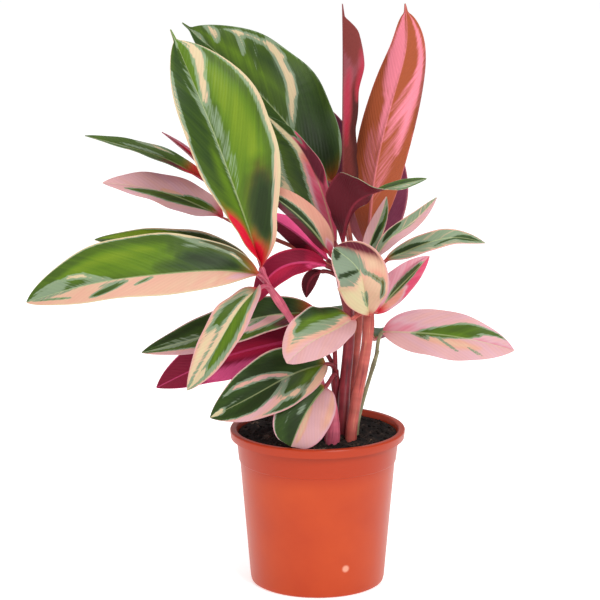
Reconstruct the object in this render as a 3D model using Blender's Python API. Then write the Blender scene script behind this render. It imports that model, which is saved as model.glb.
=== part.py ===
"""Potted stromanthe: a nursery pot, its potting mix, the shoots with their stalks, and the leaf blades.

Lengths are in millimetres until an object is made. +X is right, +Y is away from the viewer, +Z is up, and the
origin is the middle of the pot's underside.
"""

import math
from dataclasses import dataclass

import bmesh
import bpy
import numpy as np

MM = 0.001
GAP = 0.35  # left between pieces that touch
STALK_GAP = 1.0  # from the end of a stalk to its blade

POT_HEIGHT = 126.0
LIP_RADIUS = 70.0
LIP_DEPTH = 7.0
FOOT_RADIUS = 53.9
WALL = 1.3
FOOT_CORNER = 4.0  # height of the rounded corner under the wall
FOOT_RING = 44.0  # inner radius of the ring that the pot stands on
PAD_RADIUS = 14.0  # of the middle of the underside, which touches too
RECESS = 1.5  # depth of the underside between them
STEP_HEIGHT = 100.0  # where the stacking step runs round the wall
STEP_RADIUS = 63.0
STEP_DEPTH = 0.9
POT_SIDES = 40
DRAIN_HOLES = 8
DRAIN_RADIUS = 3.5
DRAIN_CIRCLE = 29.0

SOIL_EDGE = 121.5
SOIL_CROWN = 4.0  # how far the mix is heaped above its edge
SOIL_LUMPS = 0.9
SOIL_RINGS = 7
STEM_PLAY = 1.0  # round a stem in its hole

BUD_PATH = ((11, -37, 104), (11, -37, 120), (12, -35, 138), (13.5, -32, 156))
BUD_FOOT = 6.2

BLADE_THICKNESS = 0.8
RIB_HEIGHT = 0.7  # of the midrib under the blade
BLADE_FOOT = 1.5  # half the width where a blade meets its stalk
BLADE_TIP = 0.5
DRIP_WIDTH = 2.2  # half of it where a drawn-out tip starts
ROW_LENGTH = 20.0  # of blade for each row of points
ROWS = (8, 14)  # fewest and most
ROW_CROWDING = 0.07  # how far rows move towards the ends, over the length
WIDE_COLUMNS = (-1, -0.58, -0.14, 0, 0.14, 0.58, 1)
NARROW_COLUMNS = (-1, -0.5, 0, 0.5, 1)
NARROW = 36.0  # blades up to this width have fewer columns
CUP_REACH = 0.14  # of the length, where the cup at the stalk has faded
WAVE_STARTS = (2.6, 0.8)  # phases of the left and the right edge
RIB_TIP = 0.15  # height of the midrib at the tip, over its height at the stalk
STALK_SIDES = 6
CANE_SIDES = 8

SHARP = math.radians(40)  # an edge that bends more is drawn sharp


COLOURS = {
    "terracotta": ("D0562F", 0.38),
    "peat": ("2B211C", 0.95),
    "cane": ("A85A42", 0.45),
    "maroon": ("7A2438", 0.45),
    "rose": ("C4667A", 0.45),
    "coral": ("C96A5A", 0.5),
    "magenta": ("A82A50", 0.5),
    "pale_pink": ("E2B9C0", 0.45),
    "cream": ("D9CDA8", 0.45),
    "green": ("5E8A2E", 0.4),
    "olive": ("6A6A30", 0.4),
    "dark_green": ("33513A", 0.4),
}  # sRGB colour and roughness of each finish


@dataclass
class Shoot:
    """A sheathed stem that stands in the mix, from its buried foot up to where its last leaf parts."""

    name: str
    path: tuple
    foot: float  # radius
    top: float
    colour: str


@dataclass
class Leaf:
    """A blade on its stalk. Left and right are as seen on the upper side, with the tip up."""

    name: str
    shoot: str
    leaves_at: float  # where the stalk parts from the shoot, from 0 at its foot to 1 at its top
    path: tuple  # points along the midrib, from the stalk to the tip
    width: float
    face: tuple  # where the upper side looks, evenly along the midrib
    colour: str
    fold: tuple = (18.0, 18.0)  # degrees that the left and the right half rise from flat
    curl: tuple = (-14.0, -14.0)  # degrees that they bend on their way to the edge
    cup: float = 35.0  # degrees that the halves are folded up more at the stalk
    belly: float = 0.43  # where it is widest
    slim: float = 1.4
    wave: float = 0.05  # height of the edge's waves, over half the width
    waves: float = 3.0
    left: tuple = (1.0,)  # width of the left half over the outline's, evenly along the blade
    right: tuple = (1.0,)
    drip: float = 0.0  # part of the length that is a thin drawn-out tip
    stalk: float = 1.5  # radius of the stalk at the blade


SHOOTS = (
    Shoot("front_shoot", ((26, -30, 92), (26, -30, 110), (26.2, -29.7, 127), (33.5, -18, 168),
          (40, -14, 217), (38, -3, 252)), 4.8, 4.0, "cane"),
    Shoot("centre_shoot", ((20, -18, 92), (20, -18, 110), (20.1, -17.8, 127), (22, -6, 166),
          (25, 3, 213), (15, 2, 262)), 4.9, 4.1, "maroon"),
    Shoot("left_shoot", ((8.5, -19, 92), (8.5, -19, 110), (8.4, -18.8, 127), (2, -10, 167), (-24, -14, 222),
          (-41, -22, 249)), 3.4, 2.6, "rose"),
    Shoot("back_shoot", ((28, -4, 92), (28, -4, 110), (28, -3.8, 127), (28, 6, 160), (31, 15, 195),
          (32, 24, 228), (29, 28, 252)), 4.4, 3.8, "cane"),
    Shoot("right_shoot", ((31, -15, 92), (31, -15, 110), (31.2, -14.8, 127), (39, -6, 160), (48, 4, 188)),
          1.8, 1.5, "olive"),
    Shoot("low_shoot", ((11, -10, 92), (11, -10, 110), (11.2, -9.6, 126), (14, -4, 151), (14, -4, 174)), 3.3,
          2.8, "maroon"),
)

ROLLED_WIDTHS = (1, 1.5, 1.65, 1, 0.7, 0.58, 0.82, 0.74, 0.1)  # a narrow roll that opens near its tip

LEAVES = (
    Leaf("tall_left_blade", "left_shoot", 0.94, ((-44, -27, 261), (-60, -38, 313), (-84, -42, 380),
         (-113, -25, 447)), 80, ((0.5, -0.86, 0), (0.5, -0.86, 0.1), (0.35, -0.9, 0.3)), "green",
         fold=(20, 20), cup=60, belly=0.6, slim=1.9, left=(1.8, 0.64, 0.67, 0.68, 0.65, 0.64),
         right=(2.2, 1.3, 1.19, 1.14, 1.12, 1.1), drip=0.045, stalk=2.4),
    Leaf("tall_back_blade", "back_shoot", 0.93, ((11, 52, 316), (-20, 60, 356), (-51, 58, 391),
         (-107, 40, 445)), 88, ((0.45, -0.77, 0.45),), "green", fold=(30, 26), cup=20, left=(0.96,),
         right=(0.85, 0.94, 1.04, 1.04, 1.04), drip=0.04),
    Leaf("inner_left_blade", "centre_shoot", 0.95, ((14, 4, 275), (0, 5, 325), (-16, 8, 354),
         (-39, 10, 375)), 60, ((-0.75, -0.6, 0.25),), "olive", fold=(15, -5), cup=10, left=(1.3,),
         right=(0.3,)),
    Leaf("low_inner_blade", "centre_shoot", 0.92, ((9, -14, 271), (-5, -25, 292), (-23, -25, 309),
         (-49, -18, 326)), 25, ((-0.3, -0.85, 0.4),), "cream", cup=20, left=(0.6, 0.5, 0.5),
         right=(1.1,)),
    Leaf("arching_blade", "centre_shoot", 0.94, ((19.5, -13, 278), (23.5, -22.5, 302), (30, -28.5, 314),
         (45, -30, 322), (63, -28, 327), (84, -22, 331)), 42, ((0.2, 0.9, -0.4), (0.1, 0.9, -0.4),
         (0.1, 0.85, -0.4), (0, 0.2, 0.95), (0, -0.75, 0.65), (0, -0.75, 0.65)), "maroon", slim=1.1,
         left=(0.15, 0.12, 0.3, 0.3, 0.3),
         right=(0.7, 0.7, 0.8, 1.27, 1.4, 0.85, 0.7, 0.42, 0.35, 0.32, 0.3)),
    Leaf("rolled_blade", "back_shoot", 0.95, ((20, 22, 270), (20, 28, 329), (20, 30, 389), (19.8, 28, 429),
         (19, 20, 462)), 43, ((0.9, 0.4, 0.1),), "maroon", fold=(50, 75), curl=(20, 10), belly=0.78,
         slim=2.1, left=ROLLED_WIDTHS, right=ROLLED_WIDTHS, drip=0.055),
    Leaf("tall_right_blade", "back_shoot", 0.95, ((40, 26, 264), (45.5, 36, 323), (56, 38, 372),
         (63.5, 36, 400), (69.5, 32, 427), (68, 22, 462)), 51, ((0.1, 0.95, 0.1),), "coral",
         fold=(20, 20), curl=(10, 10), belly=0.5, slim=1.3, wave=0.07, right=(1, 1, 0.84, 0.82, 0.82, 0.9),
         drip=0.035),
    Leaf("far_left_upper_blade", "back_shoot", 0.8, ((-89, 24, 321), (-117, 26, 337), (-148, 24, 348),
         (-183, 14, 359)), 20, ((-0.1, -0.4, 0.9),), "green", fold=(25, 25)),
    Leaf("spike_blade", "back_shoot", 0.86, ((-76, 42, 310), (-101, 44, 338), (-124, 40, 358)), 10,
         ((0.3, -0.8, 0.5),), "rose", fold=(60, 60)),
    Leaf("far_left_lower_blade", "back_shoot", 0.76, ((-75, 12, 294), (-105, 14, 308), (-132, 12, 317),
         (-169, 5, 323)), 34, ((-0.1, -0.6, 0.8),), "pale_pink", fold=(20, 20)),
    Leaf("tucked_blade", "centre_shoot", 0.93, ((8, 6, 261), (-7, -1, 276), (-22, -3, 288), (-43, 0, 300)),
         22, ((0.1, 0.95, -0.1),), "rose", fold=(30, 30)),
    Leaf("behind_left_blade", "left_shoot", 0.93, ((-50, -8, 254), (-81, -1, 268), (-124, 3, 275),
         (-176, 3, 278)), 31, ((-0.1, -0.6, 0.8),), "olive"),
    Leaf("broad_left_blade", "left_shoot", 0.95, ((-46, -32, 257), (-72, -46, 263), (-114, -56, 263),
         (-167, -60, 257), (-225, -50, 239)), 60, ((-0.2, -0.75, 0.6),), "green", belly=0.5, slim=1.5,
         left=(0.87, 0.78, 0.66, 0.68, 0.7), right=(1.13,)),
    Leaf("hanging_blade", "left_shoot", 0.94, ((-46, -42, 248), (-60, -70, 239), (-79, -85, 210),
         (-100, -85, 178)), 34, ((-0.5, -0.6, 0.6), (-0.3, -0.9, 0.3)), "cream"),
    Leaf("low_left_blade", "low_shoot", 0.95, ((0, 8, 218), (-44, 5, 215), (-89, -4, 202),
         (-139, -12, 190)), 38, ((-0.1, -0.7, 0.7),), "dark_green"),
    Leaf("red_under_blade", "low_shoot", 0.92, ((-12, 16, 195), (-44, 14, 189), (-82, 12, 178),
         (-129, 10, 156)), 48, ((-0.2, 0.95, 0.2),), "magenta"),
    Leaf("front_pale_blade", "front_shoot", 0.8, ((27, -29, 221), (12, -51, 217), (-8, -69, 210),
         (-24, -80, 198)), 52, ((-0.1, -0.75, 0.65),), "pale_pink", cup=10, slim=1.1,
         left=(0.45, 0.6, 0.85, 0.85)),
    Leaf("striped_blade", "low_shoot", 0.94, ((6, -22, 183), (-16, -36, 180), (-44, -45, 167),
         (-84, -50, 147)), 50, ((-0.1, -0.8, 0.5),), "dark_green"),
    Leaf("drooping_blade", "low_shoot", 0.9, ((6, -32, 167), (-6, -45, 155), (-15, -52, 140),
         (-21, -56, 125.5)), 45, ((-0.1, -0.9, 0.3),), "dark_green", cup=15, belly=0.55, slim=0.8),
    Leaf("centre_blade", "front_shoot", 0.82, ((41, -20, 222), (36, -38, 244), (31, -47, 264),
         (12, -42, 280)), 42, ((-0.1, -0.8, 0.5),), "cream", cup=20, belly=0.6, slim=1.6),
    Leaf("right_up_blade", "front_shoot", 0.81, ((46, -16, 223), (60, -21, 241), (75, -22, 257),
         (87, -18, 269)), 30, ((0.3, -0.9, 0.3),), "rose", right=(0.6,)),
    Leaf("right_small_blade", "front_shoot", 0.94, ((37, 5, 261), (43, 7, 279), (50, 7, 297), (54, 5, 312)),
         14, ((0.2, -0.9, 0.3),), "dark_green"),
    Leaf("right_narrow_blade", "front_shoot", 0.95, ((46, -2, 265), (58, -8, 282), (74, -8, 294),
         (93, -4, 313)), 14, ((0, -0.8, 0.6),), "pale_pink"),
    Leaf("right_wavy_blade", "front_shoot", 0.93, ((53, -6, 262.5), (80, -10, 275.5), (107, -12, 282.5),
         (131, -8, 277.5)), 18, ((0, -0.7, 0.7),), "dark_green"),
    Leaf("right_broad_blade", "right_shoot", 0.94, ((52, 5, 203), (79, -3, 204), (112, -10, 202),
         (155, -13, 192)), 46, ((0.1, -0.9, 0.5),), "pale_pink", cup=20,
         left=(1, 0.87, 0.86, 0.92), right=(0.85, 0.85, 1, 1)),
    Leaf("curled_blade", "centre_shoot", 0.9, ((7, -3, 258), (-12, -8, 262), (-31, -10, 257),
         (-44, -8, 242), (-50, -6, 228)), 24, ((-0.1, 0.9, 0.3), (0.5, 0.9, 0.1)), "maroon"),
    Leaf("curled_hanging_blade", "centre_shoot", 0.88, ((3, 6, 252), (-5, 4, 247), (-9, 0, 232)), 12,
         ((0.2, 0.9, 0.3),), "maroon"),
    Leaf("back_left_blade", "back_shoot", 0.75, ((6, 38, 180), (-22, 85, 174), (-56, 130, 158)), 46,
         ((-0.1, 0.4, 0.9),), "green"),
    Leaf("back_low_blade", "back_shoot", 0.83, ((14, 48, 202), (2, 90, 202), (-18, 138, 180)), 40,
         ((0, 0.3, 0.9),), "pale_pink"),
    Leaf("back_right_blade", "back_shoot", 0.8, ((46, 32, 190), (72, 75, 187), (104, 118, 173)), 46,
         ((0.1, 0.4, 0.9),), "dark_green"),
    Leaf("back_high_blade", "back_shoot", 0.92, ((40, 48, 264), (50, 76, 305), (60, 104, 345)), 50,
         ((0.2, 0.9, 0.3),), "green"),
    Leaf("back_tall_blade", "back_shoot", 0.94, ((22, 56, 284), (8, 84, 335), (-12, 104, 380)), 54,
         ((-0.2, 0.9, 0.3),), "green"),
)


def unit(vectors):
    """The vectors at length 1."""
    return vectors / np.maximum(np.linalg.norm(vectors, axis=-1, keepdims=True), 1e-9)


def smooth_curve(points, fractions):
    """Points at these fractions of the length of a natural cubic spline through the given points."""
    points = np.asarray(points, float)
    steps = np.linalg.norm(np.diff(points, axis=0), axis=1)
    knots = np.concatenate([[0.0], np.cumsum(steps)])
    count = len(points)
    matrix = np.eye(count)
    right = np.zeros((count, 3))
    for i in range(1, count - 1):
        matrix[i, i - 1 : i + 2] = steps[i - 1], 2 * (steps[i - 1] + steps[i]), steps[i]
        slopes = np.diff(points[i - 1 : i + 2], axis=0) / steps[i - 1 : i + 1, None]
        right[i] = 6 * (slopes[1] - slopes[0])
    bends = np.linalg.solve(matrix, right)
    places = np.linspace(0, knots[-1], 241)
    span = np.clip(np.searchsorted(knots, places, side="right") - 1, 0, count - 2)
    h = steps[span][:, None]
    after = (places - knots[span])[:, None]
    before = h - after
    fine = (
        (bends[span] * before**3 + bends[span + 1] * after**3) / (6 * h)
        + (points[span] / h - bends[span] * h / 6) * before
        + (points[span + 1] / h - bends[span + 1] * h / 6) * after
    )
    run = np.concatenate([[0.0], np.cumsum(np.linalg.norm(np.diff(fine, axis=0), axis=1))])
    wanted = np.asarray(fractions) * run[-1]
    return np.stack([np.interp(wanted, run, fine[:, axis]) for axis in range(3)], axis=1)


def length_of(points):
    fine = smooth_curve(points, np.linspace(0, 1, 60))
    return float(np.linalg.norm(np.diff(fine, axis=0), axis=1).sum())


def eased(values, along):
    """Values given evenly along a blade, with an easy change from each to the next."""
    place = np.asarray(along) * (len(values) - 1)
    before = np.clip(np.floor(place).astype(int), 0, max(len(values) - 2, 0))
    after = np.minimum(before + 1, len(values) - 1)
    share = np.clip(place - before, 0, 1)
    share = share * share * (3 - 2 * share)
    values = np.asarray(values, float)
    return values[before] * (1 - share) + values[after] * share


def outline(leaf, along):
    """Half the blade's width over its greatest: round at the stalk and drawn out to a point."""
    along = np.clip(along / (1 - leaf.drip), 1e-6, 1 - 1e-6)
    rise = (along / leaf.belly) ** leaf.belly
    fall = ((1 - along) / (1 - leaf.belly)) ** (1 - leaf.belly)
    return (rise * fall) ** leaf.slim


def blade_grid(leaf):
    """Where the blade's points are: fractions along it, and across it from -1 at its left edge to 1."""
    rows = int(np.clip(round(6 + length_of(leaf.path) / ROW_LENGTH), *ROWS))
    even = np.linspace(0, 1, rows)
    along = even - ROW_CROWDING * np.sin(2 * math.pi * even)
    return along, np.array(WIDE_COLUMNS if leaf.width > NARROW else NARROW_COLUMNS)


def blade_surface(leaf, along, across):
    """Points on the middle of the blade, and the directions in which its upper side looks there."""
    midrib = smooth_curve(leaf.path, along)
    ahead = unit(np.gradient(midrib, axis=0))
    faces = np.asarray(leaf.face, float)
    places = np.linspace(0, 1, len(faces))
    looks = np.stack([np.interp(along, places, faces[:, axis]) for axis in range(3)], axis=1)
    up = unit(looks - (looks * ahead).sum(axis=1, keepdims=True) * ahead)
    side = np.cross(ahead, up)
    halves = []
    for widths in (leaf.left, leaf.right):
        half = leaf.width / 2 * outline(leaf, along) * eased(widths, along)
        least = BLADE_FOOT + (BLADE_TIP - BLADE_FOOT) * along
        if leaf.drip:
            least = least + DRIP_WIDTH * np.clip((1 - along) / (2 * leaf.drip), 0, 1) * (along > 0.5)
        halves.append(np.maximum(half, least))
    points = np.zeros((len(along), len(across), 3))
    for column, place in enumerate(across):
        right = int(place > 0)
        wide = halves[right] * abs(place)
        rise = np.radians(leaf.fold[right] + leaf.cup * np.exp(-((along / CUP_REACH) ** 2)))
        bend = np.radians(leaf.curl[right]) * abs(place)
        middle = rise + bend / 2
        out = wide * np.cos(middle) * np.sinc(bend / 2 / math.pi)
        lift = wide * np.sin(middle) * np.sinc(bend / 2 / math.pi)
        ripple = np.sin(2 * math.pi * leaf.waves * along + WAVE_STARTS[right]) * np.sin(math.pi * along)
        lift = lift + leaf.wave * leaf.width / 2 * place**2 * ripple
        out = out * (1 if place > 0 else -1)
        points[:, column] = midrib + out[:, None] * side + lift[:, None] * up
    normals = unit(np.cross(np.gradient(points, axis=1), np.gradient(points, axis=0)))
    return points, normals


def blade_mesh(leaf):
    """Points and triangles of the closed blade, split alike on both faces, with a rib along its underside."""
    along, across = blade_grid(leaf)
    middle, normals = blade_surface(leaf, along, across)
    rib = np.where(across == 0, RIB_HEIGHT, 0.0)[None, :] * np.clip(1 + RIB_TIP - along, RIB_TIP, 1)[:, None]
    top = middle + normals * BLADE_THICKNESS / 2
    under = middle - normals * (BLADE_THICKNESS / 2 + rib[..., None])
    rows, columns = len(along), len(across)
    points = np.concatenate([top.reshape(-1, 3), under.reshape(-1, 3)])
    below = rows * columns
    faces = []
    for i in range(rows - 1):
        for j in range(columns - 1):
            a, b = i * columns + j, i * columns + j + 1
            c, d = b + columns, a + columns
            if across[j] < 0:
                halves = ((a, b, d), (b, c, d))
            else:
                halves = ((a, b, c), (a, c, d))
            for half in halves:
                faces.append(half)
                faces.append(tuple(below + k for k in reversed(half)))
    ring = [i * columns for i in range(rows - 1, -1, -1)]
    ring += list(range(1, columns))
    ring += [i * columns + columns - 1 for i in range(1, rows)]
    ring += [(rows - 1) * columns + j for j in range(columns - 2, 0, -1)]
    for a, b in zip(ring, ring[1:] + ring[:1]):
        faces.append((b, a, below + a))
        faces.append((b, below + a, below + b))
    return points, faces


def tube_mesh(path, radii, sides):
    """Points and faces of a closed round tube along these points."""
    path = np.asarray(path, float)
    ahead = unit(np.gradient(path, axis=0))
    across = np.cross(ahead, (0.0, 1.0, 0.0))
    across = unit(np.where(np.linalg.norm(across, axis=1, keepdims=True) < 0.05, (1.0, 0.0, 0.0), across))
    over = np.cross(ahead, across)
    points = []
    for place, a, b, radius in zip(path, across, over, radii):
        for k in range(sides):
            angle = 2 * math.pi * k / sides
            points.append(place + radius * (math.cos(angle) * a + math.sin(angle) * b))
    faces = []
    for i in range(len(path) - 1):
        for k in range(sides):
            n = (k + 1) % sides
            faces.append((i * sides + k, i * sides + n, (i + 1) * sides + n, (i + 1) * sides + k))
    faces.append(tuple(reversed(range(sides))))
    faces.append(tuple((len(path) - 1) * sides + k for k in range(sides)))
    return np.array(points), faces


def shoot_tube(shoot):
    fractions = np.linspace(0, 1, 10)
    path = smooth_curve(shoot.path, fractions)
    radii = shoot.foot + (shoot.top - shoot.foot) * fractions
    return tube_mesh(path, radii, CANE_SIDES)


def stalk_path(leaf, shoot, count=8):
    """From inside the shoot, up along it, and out to the blade's foot, which it meets in line."""
    start, above = smooth_curve(shoot.path, (leaf.leaves_at, leaf.leaves_at + 0.02))
    foot = np.asarray(leaf.path[0], float)
    ahead = unit(smooth_curve(leaf.path, (0.0, 0.02))[1] - foot)
    end = foot - STALK_GAP * ahead
    reach = np.linalg.norm(end - start)
    leaving = unit(above - start) * reach
    arriving = ahead * reach
    t = np.linspace(0, 1, count)[:, None]
    return (
        (2 * t**3 - 3 * t**2 + 1) * start
        + (t**3 - 2 * t**2 + t) * leaving
        + (3 * t**2 - 2 * t**3) * end
        + (t**3 - t**2) * arriving
    )


def stalk_tube(leaf, shoot):
    path = stalk_path(leaf, shoot)
    radii = np.linspace(max(leaf.stalk, min(2.0, shoot.top)), leaf.stalk, len(path))
    return tube_mesh(path, radii, STALK_SIDES)


def hex_colour(text):
    """sRGB hex as the linear values that Blender's sockets hold."""
    channels = [int(text[i : i + 2], 16) / 255 for i in (0, 2, 4)]
    return tuple(c / 12.92 if c <= 0.04045 else ((c + 0.055) / 1.055) ** 2.4 for c in channels) + (1.0,)


def finish(thing, colour):
    """Gives the object its own material."""
    look, roughness = COLOURS[colour]
    material = bpy.data.materials.new(thing.name + " finish")
    material.use_nodes = True
    shader = material.node_tree.nodes["Principled BSDF"]
    shader.inputs["Base Color"].default_value = hex_colour(look)
    shader.inputs["Roughness"].default_value = roughness
    shader.inputs["Metallic"].default_value = 0.0
    thing.data.materials.append(material)


def new_object(name, points, faces, smooth=True):
    """An object from points in millimetres."""
    mesh = bpy.data.meshes.new(name)
    mesh.from_pydata([tuple(point) for point in np.asarray(points) * MM], [], [tuple(face) for face in faces])
    if smooth:
        mesh.shade_smooth()
        mesh.set_sharp_from_angle(angle=SHARP)
    thing = bpy.data.objects.new(name, mesh)
    bpy.context.scene.collection.objects.link(thing)
    return thing


def turned(name, profile):
    """A body of revolution from radius and height pairs that start and end on the axis."""
    mesh = bmesh.new()
    corners = [mesh.verts.new((radius * MM, 0, height * MM)) for radius, height in profile]
    edges = [mesh.edges.new(pair) for pair in zip(corners, corners[1:])]
    bmesh.ops.spin(
        mesh,
        geom=corners + edges,
        axis=(0, 0, 1),
        cent=(0, 0, 0),
        angle=2 * math.pi,
        steps=POT_SIDES,
        use_merge=True,
    )
    bmesh.ops.remove_doubles(mesh, verts=mesh.verts, dist=1e-6)
    bmesh.ops.recalc_face_normals(mesh, faces=mesh.faces)
    data = bpy.data.meshes.new(name)
    mesh.to_mesh(data)
    mesh.free()
    data.shade_smooth()
    data.set_sharp_from_angle(angle=SHARP)
    thing = bpy.data.objects.new(name, data)
    bpy.context.scene.collection.objects.link(thing)
    return thing


def cut(thing, cutter, label):
    """A live Boolean that takes the hidden cutter out of the object."""
    cutter.hide_render = True
    cutter.display_type = "WIRE"
    modifier = thing.modifiers.new(label, "BOOLEAN")
    modifier.operation = "DIFFERENCE"
    modifier.solver = "EXACT"
    modifier.object = cutter


def wall_inside(height):
    """The inner radius of the pot's tapered wall at a height."""
    slope = (STEP_RADIUS - STEP_DEPTH - FOOT_RADIUS) / (STEP_HEIGHT - FOOT_CORNER)
    radius = FOOT_RADIUS + slope * (height - FOOT_CORNER) - WALL
    return radius + (STEP_DEPTH if height > STEP_HEIGHT + STEP_DEPTH else 0.0)


def pot_profile():
    """Radius and height from the middle of the underside, up the outside, over the lip and down inside."""
    collar_top = wall_inside(POT_HEIGHT) + WALL
    floor = RECESS + WALL
    return (
        (0, 0),
        (PAD_RADIUS, 0),
        (PAD_RADIUS + 0.8, RECESS),
        (FOOT_RING - 0.8, RECESS),
        (FOOT_RING, 0),
        (FOOT_RADIUS - 2.6, 0),
        (FOOT_RADIUS - 0.8, 1.0),
        (FOOT_RADIUS, FOOT_CORNER),
        (STEP_RADIUS - STEP_DEPTH, STEP_HEIGHT),
        (STEP_RADIUS, STEP_HEIGHT + STEP_DEPTH),
        (collar_top - 0.2, POT_HEIGHT - LIP_DEPTH),
        (collar_top + 0.6, POT_HEIGHT - 1.7),
        (LIP_RADIUS - 1.8, POT_HEIGHT - 1.7),
        (LIP_RADIUS - 1.9, POT_HEIGHT - LIP_DEPTH + 0.2),
        (LIP_RADIUS - 0.6, POT_HEIGHT - LIP_DEPTH),
        (LIP_RADIUS, POT_HEIGHT - 1.2),
        (LIP_RADIUS - 0.4, POT_HEIGHT - 0.4),
        (LIP_RADIUS - 1.2, POT_HEIGHT),
        (collar_top + 0.6, POT_HEIGHT),
        (collar_top - 0.3, POT_HEIGHT - 0.6),
        (collar_top - 1.0, POT_HEIGHT - 2.6),
        (wall_inside(SOIL_EDGE), SOIL_EDGE),
        (wall_inside(STEP_HEIGHT + 2 * STEP_DEPTH), STEP_HEIGHT + 2 * STEP_DEPTH),
        (wall_inside(STEP_HEIGHT), STEP_HEIGHT),
        (wall_inside(floor + 2.0), floor + 2.0),
        (wall_inside(floor) - 1.6, floor),
        (0, floor),
    )


def make_pot():
    """One moulding: foot ring, floor with drain holes, tapered wall with its step, turned-down lip."""
    floor = RECESS + WALL
    pot = turned("pot", pot_profile())
    for k in range(DRAIN_HOLES):
        angle = 2 * math.pi * (k + 0.5) / DRAIN_HOLES
        x = DRAIN_CIRCLE * math.cos(angle)
        y = DRAIN_CIRCLE * math.sin(angle)
        bpy.ops.mesh.primitive_cylinder_add(
            vertices=10,
            radius=DRAIN_RADIUS * MM,
            depth=3 * floor * MM,
            location=(x * MM, y * MM, 0.5 * floor * MM),
        )
        drill = bpy.context.object
        drill.name = f"drain_drill_{k + 1}"
        cut(pot, drill, f"drain hole {k + 1}")
    finish(pot, "terracotta")


def soil_top(x, y):
    """Height of the mix: heaped towards the middle and lumpy all over."""
    reach = np.hypot(x, y) / wall_inside(SOIL_EDGE)
    heap = SOIL_EDGE + SOIL_CROWN * (1 - np.clip(reach, 0, 1) ** 2)
    lumps = np.sin(0.31 * x + 1.3) * np.sin(0.27 * y + 0.4) + 0.6 * np.sin(0.55 * x - 0.47 * y)
    return heap + SOIL_LUMPS * lumps * np.clip(3 * (1 - reach), 0, 1)


def soil_profile():
    floor = RECESS + WALL + GAP
    edge = wall_inside(SOIL_EDGE) - GAP
    profile = [
        (0, floor),
        (wall_inside(floor) - 1.6 - GAP, floor),
        (wall_inside(floor + 2.0) - GAP, floor + 2.0),
        (wall_inside(STEP_HEIGHT) - GAP, STEP_HEIGHT + GAP),
        (wall_inside(STEP_HEIGHT + 2 * STEP_DEPTH) - GAP, STEP_HEIGHT + 2 * STEP_DEPTH + GAP),
    ]
    rings = [(edge * (SOIL_RINGS - k) / SOIL_RINGS, SOIL_EDGE) for k in range(SOIL_RINGS + 1)]
    return profile + rings


def make_soil():
    """The mix fills the pot and has a plain hole for each stem."""
    edge = wall_inside(SOIL_EDGE) - GAP
    soil = turned("soil", soil_profile())
    for corner in soil.data.vertices:
        x, y, z = (value / MM for value in corner.co)
        if z > SOIL_EDGE - 0.01 and math.hypot(x, y) < edge - 1:
            corner.co.z = float(soil_top(x, y)) * MM
    stands = [(shoot.name, shoot.path[0], shoot.foot) for shoot in SHOOTS]
    stands.append(("young_sheath", BUD_PATH[0], BUD_FOOT))
    for name, (x, y, foot), radius in stands:
        bottom = foot - 1.0
        top = SOIL_EDGE + 3 * SOIL_CROWN
        bpy.ops.mesh.primitive_cylinder_add(
            vertices=12,
            radius=(radius + STEM_PLAY) * MM,
            depth=(top - bottom) * MM,
            location=(x * MM, y * MM, (top + bottom) / 2 * MM),
        )
        drill = bpy.context.object
        drill.name = name + "_drill"
        cut(soil, drill, name + " hole")
    finish(soil, "peat")


def make_shoot(shoot):
    """The stem with all the stalks that leave it, fused in one solid."""
    points, faces = shoot_tube(shoot)
    stem = new_object(shoot.name, points, faces)
    parts = bpy.data.collections.new(shoot.name + " stalks")
    bpy.context.scene.collection.children.link(parts)
    for leaf in LEAVES:
        if leaf.shoot == shoot.name:
            stalk = new_object(leaf.name + "_stalk", *stalk_tube(leaf, shoot))
            bpy.context.scene.collection.objects.unlink(stalk)
            parts.objects.link(stalk)
    join = stem.modifiers.new("stalks", "BOOLEAN")
    join.operation = "UNION"
    join.solver = "MANIFOLD"
    join.operand_type = "COLLECTION"
    join.collection = parts
    if parts.objects:
        bpy.context.view_layer.objects.active = stem
        bpy.ops.object.modifier_apply(modifier=join.name)
    for stalk in list(parts.objects):
        bpy.data.objects.remove(stalk)
    bpy.data.collections.remove(parts)
    finish(stem, shoot.colour)


def make_bud():
    """The young sheath: a pointed roll at the foot of the shoots."""
    fractions = np.array([0, 0.3, 0.5, 0.65, 0.8, 0.92, 1])
    radii = BUD_FOOT * np.array([0.8, 1.0, 1.0, 0.85, 0.6, 0.35, 0.12])
    bud = new_object("young_sheath", *tube_mesh(smooth_curve(BUD_PATH, fractions), radii, 10))
    finish(bud, "rose")


def main():
    for thing in list(bpy.data.objects):
        bpy.data.objects.remove(thing)
    make_pot()
    make_soil()
    for shoot in SHOOTS:
        make_shoot(shoot)
    make_bud()
    for leaf in LEAVES:
        blade = new_object(leaf.name, *blade_mesh(leaf))
        finish(blade, leaf.colour)


if __name__ == "__main__":
    main()
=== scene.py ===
"""Potted stromanthe, dressed: variegated leaves on sheathed stems in a moulded nursery pot, on a pale floor.

Lengths are in millimetres until a mesh is made. +X is right, +Y is away from the viewer, +Z is up, and the
origin is the middle of the pot's underside.
"""

import math
from dataclasses import dataclass

import bpy
import numpy as np
from mathutils import Matrix, Vector, noise


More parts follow.
